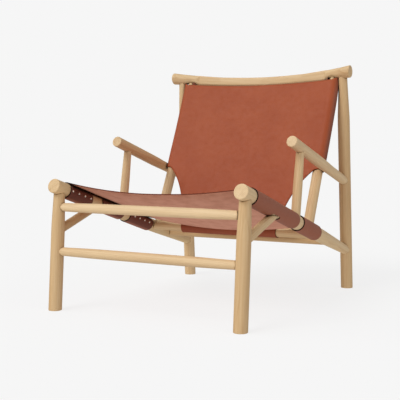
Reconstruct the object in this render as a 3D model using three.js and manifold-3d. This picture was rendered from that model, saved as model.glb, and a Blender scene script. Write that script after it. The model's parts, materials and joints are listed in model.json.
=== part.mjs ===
// Leather sling lounge chair: a glued frame of turned oak bars that carries a seat and a back of leather.
// Millimetres. X runs across the chair, Y from the front feet to the back, and Z up from the floor.

import * as THREE from 'three';
import { mergeVertices } from 'three/addons/utils/BufferGeometryUtils.js';
import Module from 'manifold-3d';

const wasm = await Module();
wasm.setup();

// Clearances, and the round on a cut end
const CLEARANCE = 0.3;
const NOTCH_MARGIN = 4.5;
const EDGE = 2.5;

// Side frame, seen from the side
const FRONT_HALF_SPAN = 315.5;
const REAR_FLARE = 3;
const FOOT_SPACING = 824;
const RAIL_OVERHANG = 1;
const RAIL_FRONT_HEIGHT = 379;
const RAIL_REAR_HEIGHT = 133;
const LEG_SETBACK = 29.5;
const ARM_FRONT_PLACE = 332;
const ARM_FRONT_HEIGHT = 512.5;
const ARM_REAR_HEIGHT = 375;
const ARM_POST_RAIL_PLACE = 380.5;
const ARM_POST_ARM_PLACE = 70;
const BRACE_DROP = 138;
const BRACE_RAIL_PLACE = 242;
const UPPER_STRETCHER_DROP = 66;
const LOWER_STRETCHER_HEIGHT = 179;
const SEAT_BAR_PLACE = 564.5;
const REAR_BEAM_PLACE = 680.5;
const BACK_POST_INSET = 37;
const BACK_POST_BOW = 6.3;
const BACK_POST_LEAN = 2.5;
const BACK_LEG_LEAN = 2.4;
const BEHIND_CREST = 2;

// Bar radii and the lengths of their tapers
const LEG_RADIUS = 20.4;
const FRONT_LEG_TOP_RADIUS = 17;
const FRONT_LEG_TAPER = 95;
const BACK_LEG_TOP_RADIUS = 14.5;
const BACK_LEG_TAPER = 135;
const RAIL_RADIUS = 22;
const RAIL_REAR_RADIUS = 16;
const RAIL_TAPER = 260;
const ARM_FRONT_RADIUS = 17.4;
const ARM_MIDDLE_RADIUS = 17.8;
const ARM_WAIST_RADIUS = 15.8;
const ARM_REAR_RADIUS = 15;
const ARM_WAIST_SHARE = 0.67;
const ARM_POST_LOW_RADIUS = 14.4;
const ARM_POST_TOP_RADIUS = 12.2;
const BACK_POST_RADIUS = 17.7;
const BACK_POST_LOW_RADIUS = 16.8;
const BACK_POST_TOP_RADIUS = 16;
const BACK_POST_NECK_RADIUS = 7.5;
const STRETCHER_RADIUS = 14.5;
const STRETCHER_END_RADIUS = 12.6;
const STRETCHER_TAPER = 130;
const BRACE_RADIUS = 13.5;
const SEAT_BAR_RADIUS = 17;
const REAR_BEAM_RADIUS = 14.5;

// Crest rail: a bar bowed back and down, turned at the ends and flattened to a blade in the middle
const CREST_OVERHANG = 28.5;
const CREST_END_PLACE = 755.2;
const CREST_END_HEIGHT = 747.6;
const CREST_BOW = 49;
const CREST_SAG = 18.1;
const CREST_END_RADIUS = 20.8;
const CREST_END_LIFT = 1.2;
const CREST_POST_RADIUS = 16;
const CREST_NECK_RADIUS = 15.3;
const CREST_NECK_LIFT = 3.6;
const BLADE_INSET = 62.3;
const BLADE_TAPER = 26;
const BLADE_SHOULDER = 11;
const BLADE_MIDDLE_HALF_HEIGHT = 14.9;
const BLADE_HALF_HEIGHT = 15.4;
const BLADE_END_HALF_HEIGHT = 16.9;
const BLADE_END_LIFT = 0.5;
const BLADE_SHOULDER_LIFT = 2.8;
const BLADE_HALF_DEPTH = 11;
const BLADE_EVEN_SHARE = 0.71;
const CREST_RECLINE = THREE.MathUtils.degToRad(12);
const ROUND_POWER = 2;
const BLADE_POWER = 4;

// Leather
const LEATHER = 3;
const SEAT_START = 57;
const SEAT_REAR_GAP = 24;
const SEAT_FRONT_SAG = 28;
const SEAT_REAR_SAG = 29;
const BACK_START = 220;
const BACK_TOP_GAP = 24.5;
const BACK_TOP_DIP = 0.5;
const BACK_LOW_SAG = 5;
const BACK_TOP_SAG = 24;
const FLAP_ANGLE = THREE.MathUtils.degToRad(31);
const FACET_HALF_ANGLE = THREE.MathUtils.degToRad(13);
const SLEEVE_FACETS = 12;
const PANEL_CELLS = 10;
const WRAP_FACETS = 8;
// The tongue's half width at heights from the seat bar up to the sleeves, as shares of both
const TONGUE_OUTLINE_SHARES = [
  [0, 0.626],
  [0.245, 0.664],
  [0.471, 0.718],
  [0.575, 0.751],
  [0.672, 0.788],
  [0.845, 0.873],
];
const SLEEVE_ROW_SHARES = [0, 0.2, 0.4, 0.6, 0.8, 1];

// Nails
const NAIL_SPACING = 32;
const NAIL_MARGIN = 11;
const BACK_NAILS = 5;
const BACK_NAIL_MARGIN = 32.5;
const TONGUE_NAILS = 3;
const TONGUE_NAIL_MARGIN = 62;
const NAIL_HEAD_RADIUS = 3.6;
const NAIL_HEAD_HEIGHT = 2;
const NAIL_SHANK_RADIUS = 1.1;
const NAIL_DEPTH = 11;

// Tenons, as shares of the bar that carries the tenon and of the bar that takes it
const TENON_RADIUS_SHARE = 0.6;
const TENON_DEPTH_SHARE = 1.2;

// Facets round a bar and a nail
const BAR_SIDES = 18;
const NAIL_SIDES = 6;
const CREST_SIDES = 16;

const OAK = { color: 0xdcb683, roughness: 0.55, metalness: 0 };
const LEATHER_FINISH = { color: 0xa65a3e, roughness: 0.6, metalness: 0 };
const BRASS = { color: 0xe6cf9a, roughness: 0.35, metalness: 0.8 };

const SIDES = [{ name: 'left', sign: -1 }, { name: 'right', sign: 1 }];

const REAR_HALF_SPAN = FRONT_HALF_SPAN + REAR_FLARE;
const CREST_HALF_LENGTH = REAR_HALF_SPAN + CREST_OVERHANG;
const BACK_POST_HALF_SPAN = REAR_HALF_SPAN - BACK_POST_INSET;
const BLADE_HALF_LENGTH = BACK_POST_HALF_SPAN - BLADE_INSET;
const SEAT_END = SEAT_BAR_PLACE - SEAT_REAR_GAP;

// Solids

// Turns a closed geometry into a solid that can be cut and joined
function solid(geometry) {
  const bare = geometry.clone();
  bare.deleteAttribute('normal');
  bare.deleteAttribute('uv');
  const merged = mergeVertices(bare);
  const corners = merged.index.array;
  const triangles = [];
  for (let i = 0; i < corners.length; i += 3) {
    const [a, b, c] = [corners[i], corners[i + 1], corners[i + 2]];
    if (a !== b && b !== c && c !== a) triangles.push(a, b, c);
  }
  return new wasm.Manifold(new wasm.Mesh({
    numProp: 3,
    vertProperties: new Float32Array(merged.attributes.position.array),
    triVerts: new Uint32Array(triangles),
  }));
}

function geometryOf(body) {
  const mesh = body.getMesh();
  const geometry = new THREE.BufferGeometry();
  geometry.setAttribute('position', new THREE.BufferAttribute(mesh.vertProperties, 3));
  geometry.setIndex(new THREE.BufferAttribute(mesh.triVerts, 1));
  geometry.computeVertexNormals();
  return geometry;
}

function directionOf(line) {
  return line.end.clone().sub(line.start).normalize();
}

function lengthOf(line) {
  return line.start.distanceTo(line.end);
}

function along(line, distance) {
  return line.start.clone().addScaledVector(directionOf(line), distance);
}

// A straight turned bar; stations list [distance from the line's start, radius]
function turned(line, stations, growth = 0, sides = BAR_SIDES) {
  const outline = stations.map(([distance, radius]) => new THREE.Vector2(radius + growth, distance));
  outline.unshift(new THREE.Vector2(0, stations[0][0]));
  outline.push(new THREE.Vector2(0, stations[stations.length - 1][0]));
  const geometry = new THREE.LatheGeometry(outline, sides);
  const turn = new THREE.Quaternion().setFromUnitVectors(new THREE.Vector3(0, 1, 0), directionOf(line));
  geometry.applyMatrix4(new THREE.Matrix4().compose(line.start, turn, new THREE.Vector3(1, 1, 1)));
  return solid(geometry);
}

// The way square to a line and to X, to the chair's back
function backwards(line) {
  const direction = directionOf(line);
  return new THREE.Vector3(0, direction.z, -direction.y).normalize();
}

// How far a bowed bar stands behind its straight line, which is its whole bow at two thirds of its length
function bowAt(line, distance, bow) {
  const share = distance / lengthOf(line);
  return backwards(line).multiplyScalar(27 / 4 * bow * share ** 2 * (1 - share));
}

// A turned bar bent to its bow, with a ring of points at each station
function bent(line, stations, bow, growth) {
  const away = backwards(line);
  const across = directionOf(line).cross(away);
  const positions = [];
  for (const [distance, radius] of stations) {
    const centre = along(line, distance).add(bowAt(line, distance, bow));
    for (let k = 0; k < BAR_SIDES; k += 1) {
      const angle = 2 * Math.PI * k / BAR_SIDES;
      const point = centre.clone()
        .addScaledVector(away, (radius + growth) * Math.cos(angle))
        .addScaledVector(across, (radius + growth) * Math.sin(angle));
      positions.push(...point.toArray());
    }
  }
  return solid(tubeGeometry(positions, stations.length, BAR_SIDES));
}

// A turned bar of the frame. Its line ends on the axes of the bars that take its tenons.
class Bar {
  constructor(name, line, stations, bow = 0) {
    this.name = name;
    this.line = line;
    this.stations = stations;
    this.bow = bow;
    this.body = this.shape(0);
    this.mortises = [];
  }

  shape(growth) {
    if (this.bow === 0) return turned(this.line, this.stations, growth);
    return bent(this.line, this.stations, this.bow, growth);
  }

  grown() {
    return this.shape(CLEARANCE);
  }

  // The middle of the bar at a distance from its start
  at(distance) {
    return along(this.line, distance).add(bowAt(this.line, distance, this.bow));
  }

  radiusAt(distance) {
    const next = this.stations.findIndex(([place]) => place >= distance);
    if (next <= 0) return this.stations[next === 0 ? 0 : this.stations.length - 1][1];
    const [lowPlace, lowRadius] = this.stations[next - 1];
    const [highPlace, highRadius] = this.stations[next];
    return THREE.MathUtils.mapLinear(distance, lowPlace, highPlace, lowRadius, highRadius);
  }

  // Shapes one end over the host bar and lets a round tenon into it
  join(host, end, hostDirection, hostRadius) {
    const length = lengthOf(this.line);
    const away = this.direction();
    if (end === 'end') away.negate();
    const tip = end === 'start' ? this.line.start : this.line.end;
    const reach = hostRadius / Math.sqrt(1 - away.dot(hostDirection) ** 2);
    const endRadius = this.radiusAt(end === 'start' ? reach : length - reach);
    const root = tip.clone().addScaledVector(away, reach + 2 * endRadius);
    const tenonLine = { start: root, end: tip };
    const tenonEnd = 2 * endRadius + reach * TENON_DEPTH_SHARE;
    const tenonRadius = endRadius * TENON_RADIUS_SHARE;
    const tenon = turned(tenonLine, [[0, tenonRadius], [tenonEnd, tenonRadius]]);
    const mortise = turned(tenonLine, [[0, tenonRadius], [tenonEnd + CLEARANCE, tenonRadius]], CLEARANCE);
    this.body = this.body.subtract(host.grown()).add(tenon);
    host.mortises.push(mortise);
  }

  direction() {
    return directionOf(this.line);
  }
}

// Frame lines

// A point of a side frame, which stands slightly wider at the back
function sidePoint(side, place, height) {
  const halfSpan = FRONT_HALF_SPAN + (REAR_HALF_SPAN - FRONT_HALF_SPAN) * place / FOOT_SPACING;
  return new THREE.Vector3(side.sign * halfSpan, place, height);
}

function crestCurve() {
  return new THREE.QuadraticBezierCurve3(
    new THREE.Vector3(-CREST_HALF_LENGTH, CREST_END_PLACE, CREST_END_HEIGHT),
    new THREE.Vector3(0, CREST_END_PLACE + 2 * CREST_BOW, CREST_END_HEIGHT - 2 * CREST_SAG),
    new THREE.Vector3(CREST_HALF_LENGTH, CREST_END_PLACE, CREST_END_HEIGHT),
  );
}

function crestShare(x) {
  return (x / CREST_HALF_LENGTH + 1) / 2;
}

function crestPoint(x) {
  return crestCurve().getPoint(crestShare(x));
}

function pointAtHeight(line, height) {
  const share = (height - line.start.z) / (line.end.z - line.start.z);
  return line.start.clone().lerp(line.end, share);
}

// The axes of one side frame's bars, all running from front to back or from low to high
function sideLines(side) {
  const backTop = crestJoint(side.sign * (REAR_HALF_SPAN - BACK_LEG_LEAN));
  const backLeg = { start: sidePoint(side, FOOT_SPACING, 0), end: backTop };
  const rail = {
    start: sidePoint(side, -RAIL_OVERHANG, RAIL_FRONT_HEIGHT),
    end: pointAtHeight(backLeg, RAIL_REAR_HEIGHT),
  };
  const frontLeg = { start: sidePoint(side, 0, 0), end: along(rail, LEG_SETBACK) };
  const arm = {
    start: sidePoint(side, ARM_FRONT_PLACE, ARM_FRONT_HEIGHT),
    end: pointAtHeight(backLeg, ARM_REAR_HEIGHT),
  };
  const armPost = { start: along(rail, ARM_POST_RAIL_PLACE), end: along(arm, ARM_POST_ARM_PLACE) };
  const brace = {
    start: pointAtHeight(frontLeg, RAIL_FRONT_HEIGHT - BRACE_DROP),
    end: along(rail, BRACE_RAIL_PLACE),
  };
  const seatBarEnd = along(rail, SEAT_BAR_PLACE);
  const postFoot = seatBarEnd.clone().setX(side.sign * BACK_POST_HALF_SPAN);
  const postTop = crestJoint(side.sign * (BACK_POST_HALF_SPAN - BACK_POST_LEAN));
  const backPost = { start: postFoot, end: postTop };
  return { backLeg, rail, frontLeg, arm, armPost, brace, backPost };
}

function crossLine(lines, pick) {
  return { start: pick(lines.left), end: pick(lines.right) };
}

// Crest rail

// Half height, half depth, squareness and lift of the crest rail's section at stations from its middle out
function crestStations() {
  const blade = (x, high, lift) => ({ x, high, deep: BLADE_HALF_DEPTH, power: BLADE_POWER, lift });
  const round = (x, radius, lift) => ({ x, high: radius, deep: radius, power: ROUND_POWER, lift });
  const shoulder = BLADE_HALF_LENGTH + BLADE_TAPER;
  return [
    blade(0, BLADE_MIDDLE_HALF_HEIGHT, 0),
    blade(BLADE_HALF_LENGTH * BLADE_EVEN_SHARE, BLADE_HALF_HEIGHT, 0),
    blade(BLADE_HALF_LENGTH, BLADE_END_HALF_HEIGHT, BLADE_END_LIFT),
    blade(shoulder, BLADE_HALF_HEIGHT, BLADE_SHOULDER_LIFT),
    round(shoulder + BLADE_SHOULDER, CREST_NECK_RADIUS, CREST_NECK_LIFT),
    round(BACK_POST_HALF_SPAN, CREST_POST_RADIUS, CREST_NECK_LIFT),
    round(CREST_HALF_LENGTH - EDGE, CREST_END_RADIUS, CREST_END_LIFT),
    round(CREST_HALF_LENGTH, CREST_END_RADIUS - EDGE, CREST_END_LIFT),
  ];
}

// The way up the crest rail's reclined face
function crestRise() {
  return new THREE.Vector3(0, Math.sin(CREST_RECLINE), Math.cos(CREST_RECLINE));
}

// Where the axis of a leg or a post ends inside the crest rail, slightly behind its lifted middle
function crestJoint(x) {
  const stations = crestStations();
  const next = stations.findIndex((station) => station.x >= Math.abs(x));
  const [low, high] = [stations[next - 1], stations[next]];
  const lift = THREE.MathUtils.mapLinear(Math.abs(x), low.x, high.x, low.lift, high.lift);
  const joint = crestPoint(x).addScaledVector(crestRise(), lift);
  return joint.setY(joint.y + BEHIND_CREST);
}

// Places for rings: every station, and even steps between stations that lie far apart
function crestRings() {
  const stations = crestStations();
  const stepLength = BLADE_HALF_LENGTH / 5;
  const half = [];
  for (let i = 0; i + 1 < stations.length; i += 1) {
    const steps = Math.max(1, Math.round((stations[i + 1].x - stations[i].x) / stepLength));
    for (let k = 0; k < steps; k += 1) {
      const share = k / steps;
      const ring = {};
      for (const key of Object.keys(stations[i])) {
        ring[key] = THREE.MathUtils.lerp(stations[i][key], stations[i + 1][key], share);
      }
      half.push(ring);
    }
  }
  half.push(stations[stations.length - 1]);
  const mirrored = half.slice(1).reverse().map((ring) => ({ ...ring, x: -ring.x }));
  return [...mirrored, ...half];
}

function signedPower(value, power) {
  return Math.sign(value) * Math.abs(value) ** (2 / power);
}

// The rings stand square to X, as the ends are cut, so their depth is widened where the bar runs at a slant
function crestSolid(growth = 0) {
  const curve = crestCurve();
  const rings = crestRings();
  const positions = [];
  for (const ring of rings) {
    const share = crestShare(ring.x);
    const centre = curve.getPoint(share);
    const bend = curve.getTangent(share).x;
    const rise = crestRise();
    const depth = new THREE.Vector3(0, -rise.z, rise.y).divideScalar(bend);
    centre.addScaledVector(rise, ring.lift);
    for (let k = 0; k < CREST_SIDES; k += 1) {
      const angle = 2 * Math.PI * k / CREST_SIDES;
      const point = centre.clone()
        .addScaledVector(rise, (ring.high + growth) * signedPower(Math.cos(angle), ring.power))
        .addScaledVector(depth, (ring.deep + growth) * signedPower(Math.sin(angle), ring.power));
      positions.push(...point.toArray());
    }
  }
  return solid(tubeGeometry(positions, rings.length, CREST_SIDES));
}

// A closed skin over rings of points, with a flat fan on each end
function tubeGeometry(positions, ringCount, sides) {
  const indices = [];
  for (let r = 0; r + 1 < ringCount; r += 1) {
    for (let k = 0; k < sides; k += 1) {
      const a = r * sides + k;
      const b = r * sides + (k + 1) % sides;
      indices.push(a, b, b + sides, a, b + sides, a + sides);
    }
  }
  const last = (ringCount - 1) * sides;
  for (let k = 1; k + 1 < sides; k += 1) {
    indices.push(0, k + 1, k);
    indices.push(last, last + k, last + k + 1);
  }
  const geometry = new THREE.BufferGeometry();
  geometry.setAttribute('position', new THREE.Float32BufferAttribute(positions, 3));
  geometry.setIndex(indices);
  return geometry;
}

// Leather sheets

// Gives a sheet its thickness. The grid holds points of its inner face with normals, and keep says
// which cells are leather and which are cut away.
function thicken(grid, keep) {
  const columns = grid[0].length;
  const layer = grid.length * columns;
  const positions = [];
  for (const offset of [0, LEATHER]) {
    for (const row of grid) {
      for (const { point, normal } of row) {
        positions.push(...point.clone().addScaledVector(normal, offset).toArray());
      }
    }
  }
  const indices = [];
  const kept = (r, c) => r >= 0 && c >= 0 && r + 1 < grid.length && c + 1 < columns && keep(r, c);
  const wall = (from, to) => indices.push(from, to, to + layer, from, to + layer, from + layer);
  for (let r = 0; r + 1 < grid.length; r += 1) {
    for (let c = 0; c + 1 < columns; c += 1) {
      if (!kept(r, c)) continue;
      const [a, b] = [r * columns + c, r * columns + c + 1];
      const [d, e] = [a + columns, b + columns];
      indices.push(a, b, e, a, e, d);
      indices.push(a + layer, e + layer, b + layer, a + layer, d + layer, e + layer);
      if (!kept(r - 1, c)) wall(b, a);
      if (!kept(r + 1, c)) wall(d, e);
      if (!kept(r, c - 1)) wall(a, d);
      if (!kept(r, c + 1)) wall(e, b);
    }
  }
  const geometry = new THREE.BufferGeometry();
  geometry.setAttribute('position', new THREE.Float32BufferAttribute(positions, 3));
  geometry.setIndex(indices);
  return solid(geometry);
}

// Angles round a sleeve from its nailed flap, under and outside the bar, to where the panel leaves it
function sleeveAngles(leaveAngle, splitAngle) {
  const angles = [-FLAP_ANGLE, -FACET_HALF_ANGLE, FACET_HALF_ANGLE];
  const lowFacets = Math.round(SLEEVE_FACETS / 3);
  for (let k = 1; k <= lowFacets; k += 1) {
    angles.push(THREE.MathUtils.lerp(FACET_HALF_ANGLE, splitAngle, k / lowFacets));
  }
  const highFacets = SLEEVE_FACETS - 2 - lowFacets;
  for (let k = 1; k <= highFacets; k += 1) {
    angles.push(THREE.MathUtils.lerp(splitAngle, leaveAngle, k / highFacets));
  }
  return angles;
}

function sleeveRadius(barRadius) {
  return (barRadius + CLEARANCE) / Math.cos(Math.PI / SLEEVE_FACETS);
}

// Shares of the panel's half width at its grid lines, with one line where the slots for posts end
function panelShares(slotShare) {
  const half = [1, slotShare];
  for (let k = 1; k < PANEL_CELLS / 2; k += 1) half.push(slotShare * (1 - 2 * k / PANEL_CELLS));
  const other = half.map((share) => -share).reverse();
  return [...half, 0, ...other];
}

// One cross section of a sling between two parallel bars. The section lies in X and the rise direction.
function slingSection(section) {
  const { halfSpan, radius, sag, origin, rise, slotReach, splitAngle } = section;
  const slope = Math.atan(2 * sag / halfSpan);
  const leaveAngle = 3 * Math.PI / 2 + slope;
  const inner = sleeveRadius(radius);
  const place = (x, height, across, up) => ({
    point: origin.clone().setX(x).addScaledVector(rise, height),
    normal: rise.clone().multiplyScalar(up).setX(across),
  });
  const sleeve = (sign) => sleeveAngles(leaveAngle, splitAngle).map((angle) => {
    const [across, up] = [-Math.cos(angle), -Math.sin(angle)];
    return place(sign * (halfSpan + inner * across), inner * up, sign * across, up);
  });
  const panelHalf = halfSpan - inner * Math.sin(slope);
  const panelRise = inner * Math.cos(slope);
  const slotShare = (halfSpan - slotReach) / panelHalf;
  const panel = panelShares(slotShare).slice(1, -1).map((share) => {
    const dip = panelHalf * Math.tan(slope) / 2 * (1 - share ** 2);
    const tilt = Math.atan(Math.tan(slope) * share);
    return place(share * panelHalf, panelRise - dip, -Math.sin(tilt), Math.cos(tilt));
  });
  return [...sleeve(1), ...panel, ...sleeve(-1).reverse()];
}

// The brace and the arm post pass through the seat's sleeves, and their footprints on the rail set its tabs
function seatRows(rail, lines) {
  const railDirection = rail.direction();
  const braceAngle = directionOf(lines.brace).angleTo(railDirection);
  const braceMiddle = BRACE_RAIL_PLACE - RAIL_RADIUS / Math.tan(braceAngle);
  const braceHalf = BRACE_RADIUS / Math.sin(braceAngle) + NOTCH_MARGIN;
  const postMiddle = ARM_POST_RAIL_PLACE + RAIL_RADIUS * directionOf(lines.armPost).dot(railDirection);
  const postHalf = ARM_POST_LOW_RADIUS + NOTCH_MARGIN;
  return [
    SEAT_START,
    braceMiddle - braceHalf,
    braceMiddle + braceHalf,
    postMiddle - postHalf,
    postMiddle + postHalf,
    SEAT_END,
  ];
}

function seatSling(rail, lines) {
  const direction = rail.direction();
  const rise = new THREE.Vector3(0, -direction.z, direction.y).normalize();
  const rows = seatRows(rail, lines);
  const notchAngle = Math.PI - Math.acos((BRACE_RADIUS + NOTCH_MARGIN / 2) / sleeveRadius(RAIL_RADIUS));
  const grid = rows.map((distance) => {
    const centre = along(rail.line, distance);
    const share = (distance - SEAT_START) / (SEAT_END - SEAT_START);
    return slingSection({
      halfSpan: centre.x,
      radius: RAIL_RADIUS,
      sag: THREE.MathUtils.lerp(SEAT_FRONT_SAG, SEAT_REAR_SAG, share),
      origin: centre,
      rise,
      slotReach: ARM_POST_LOW_RADIUS + NOTCH_MARGIN,
      splitAngle: notchAngle,
    });
  });
  const columns = grid[0].length - 1;
  const notchColumns = 2 + Math.round(SLEEVE_FACETS / 3);
  const slotColumns = SLEEVE_FACETS + 1;
  const fromEdge = (c) => Math.min(c, columns - 1 - c);
  return thicken(grid, (r, c) => {
    if (r === 1) return fromEdge(c) >= notchColumns;
    if (r === 3) return fromEdge(c) >= slotColumns;
    return true;
  });
}

// Rows of the back sling's sleeves along a post, the last of them at the sling's top edge
function sleeveRows(postLine) {
  const top = lengthOf(postLine) - BACK_TOP_GAP;
  return SLEEVE_ROW_SHARES.map((share) => THREE.MathUtils.lerp(BACK_START, top, share));
}

function backEnd(post) {
  return sleeveRows(post.line).at(-1);
}

// Rows of the back sling: round the seat bar, up the tongue, and up the sleeves
function backRows(post) {
  const rows = [];
  for (let k = WRAP_FACETS; k > 0; k -= 1) {
    rows.push({ wrap: k * 2 * FACET_HALF_ANGLE, widthShare: TONGUE_OUTLINE_SHARES[0][1] });
  }
  for (const [heightShare, widthShare] of TONGUE_OUTLINE_SHARES) {
    rows.push({ distance: heightShare * BACK_START, widthShare });
  }
  sleeveRows(post.line).forEach((distance, k) => {
    rows.push({ distance, widthShare: 1, dipShare: SLEEVE_ROW_SHARES[k] });
  });
  return rows;
}

// The sag grows from nothing on the seat bar to its full depth at the free top edge
function backSag(post, distance) {
  if (distance < BACK_START) return BACK_LOW_SAG * distance / BACK_START;
  const share = (distance - BACK_START) / (backEnd(post) - BACK_START);
  return THREE.MathUtils.lerp(BACK_LOW_SAG, BACK_TOP_SAG, share);
}

function backSling(post) {
  const upward = post.direction().setX(0).normalize();
  const rise = new THREE.Vector3(0, -upward.z, upward.y);
  const foot = post.line.start;
  const barInner = (SEAT_BAR_RADIUS + CLEARANCE) / Math.cos(FACET_HALF_ANGLE);
  const grid = backRows(post).map((row) => {
    const distance = row.distance ?? 0;
    const centre = foot.clone().addScaledVector(upward, distance).add(bowAt(post.line, distance, post.bow));
    const halfSpan = Math.abs(along(post.line, distance).x);
    const section = slingSection({
      halfSpan,
      radius: post.radiusAt(distance),
      sag: backSag(post, distance),
      origin: centre,
      rise,
      slotReach: 2 * BACK_POST_RADIUS,
      splitAngle: 3 * Math.PI / 4,
    });
    return section.map((spot, c) => shapeBackSpot(spot, row, { foot, upward, rise, barInner, c, section }));
  });
  const columns = grid[0].length - 1;
  const wrapRows = WRAP_FACETS + TONGUE_OUTLINE_SHARES.length;
  return thicken(grid, (r, c) => r >= wrapRows || Math.min(c, columns - 1 - c) >= SLEEVE_FACETS);
}

function wrapNormal(rise, upward, angle) {
  return rise.clone().multiplyScalar(Math.cos(angle)).addScaledVector(upward, -Math.sin(angle));
}

// Narrows the tongue, lays it round the seat bar and dips the top edge
function shapeBackSpot(spot, row, frame) {
  const { foot, upward, rise, barInner, c, section } = frame;
  const inSleeve = Math.min(c, section.length - 1 - c) < SLEEVE_FACETS;
  if (inSleeve) return spot;
  const edge = Math.abs(section[SLEEVE_FACETS].point.x);
  const share = spot.point.x / edge;
  const point = spot.point.clone().setX(spot.point.x * row.widthShare);
  if (row.dipShare) point.addScaledVector(upward, -BACK_TOP_DIP * row.dipShare * (1 - share ** 2));
  if (row.wrap === undefined) return { point, normal: spot.normal };
  const normal = wrapNormal(rise, upward, row.wrap);
  const wrapped = foot.clone().setX(point.x).addScaledVector(normal, barInner);
  return { point: wrapped, normal };
}

// Nails

// A domed nail from a bar's axis side out to its head, which lies on the leather
function nailStations(seat) {
  const head = seat + LEATHER + CLEARANCE;
  return [
    [seat - NAIL_DEPTH, NAIL_SHANK_RADIUS],
    [head, NAIL_SHANK_RADIUS],
    [head, NAIL_HEAD_RADIUS],
    [head + NAIL_HEAD_HEIGHT / 2, NAIL_HEAD_RADIUS * Math.cos(Math.PI / 6)],
    [head + NAIL_HEAD_HEIGHT, NAIL_HEAD_RADIUS / 2],
  ];
}

// Drives one nail into a bar through a sheet and returns the nail
function drive(bar, sheet, axisPoint, outward, seat) {
  const line = { start: axisPoint, end: axisPoint.clone().add(outward) };
  const stations = nailStations(seat);
  const [low, high] = [stations[0][0], stations[stations.length - 1][0]];
  const hole = [[low - CLEARANCE, NAIL_SHANK_RADIUS], [high, NAIL_SHANK_RADIUS]];
  const drill = turned(line, hole, CLEARANCE, NAIL_SIDES);
  bar.body = bar.body.subtract(drill);
  sheet.body = sheet.body.subtract(drill);
  return turned(line, stations, 0, NAIL_SIDES);
}

function facetRadius(barRadius) {
  return sleeveRadius(barRadius) * Math.cos(FACET_HALF_ANGLE);
}

function evenPlaces(start, end, count) {
  return Array.from({ length: count }, (_, k) => THREE.MathUtils.lerp(start, end, k / (count - 1)));
}

// As many places as fit on a tab at the nails' spacing
function tabPlaces(start, end) {
  const gaps = Math.floor((end - start - 2 * NAIL_MARGIN) / NAIL_SPACING);
  const [middle, reach] = [(start + end) / 2, gaps / 2 * NAIL_SPACING];
  return evenPlaces(middle - reach, middle + reach, gaps + 1);
}

function seatNails(side, rail, sheet, rows) {
  const inward = new THREE.Vector3(-side.sign, 0, 0);
  const nails = [];
  for (const tab of [0, 2, 4]) {
    for (const place of tabPlaces(rows[tab], rows[tab + 1])) {
      const nail = drive(rail, sheet, along(rail.line, place), inward, facetRadius(RAIL_RADIUS));
      nails.push([`seat_nail_${side.name}_${nails.length + 1}`, nail]);
    }
  }
  return nails;
}

function backNails(side, post, sheet) {
  const inward = new THREE.Vector3(-side.sign, 0, 0);
  const [low, high] = [BACK_START + BACK_NAIL_MARGIN, backEnd(post) - BACK_NAIL_MARGIN];
  return evenPlaces(low, high, BACK_NAILS).map((place, k) => {
    const nail = drive(post, sheet, post.at(place), inward, facetRadius(post.radiusAt(place)));
    return [`back_nail_${side.name}_${k + 1}`, nail];
  });
}

// The tongue is nailed on the facet that lies behind the seat bar
function tongueNails(seatBar, sheet, post) {
  const upward = post.direction().setX(0).normalize();
  const rise = new THREE.Vector3(0, -upward.z, upward.y);
  const wrap = (WRAP_FACETS - 2 + 1 / 2) * 2 * FACET_HALF_ANGLE;
  const outward = wrapNormal(rise, upward, wrap);
  const reach = TONGUE_OUTLINE_SHARES[0][1] * BACK_POST_HALF_SPAN - TONGUE_NAIL_MARGIN;
  return evenPlaces(-reach, reach, TONGUE_NAILS).map((x, k) => {
    const axisPoint = seatBar.line.start.clone().setX(x);
    const nail = drive(seatBar, sheet, axisPoint, outward, SEAT_BAR_RADIUS + CLEARANCE);
    return [`tongue_nail_${k + 1}`, nail];
  });
}

// Bars

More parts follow.
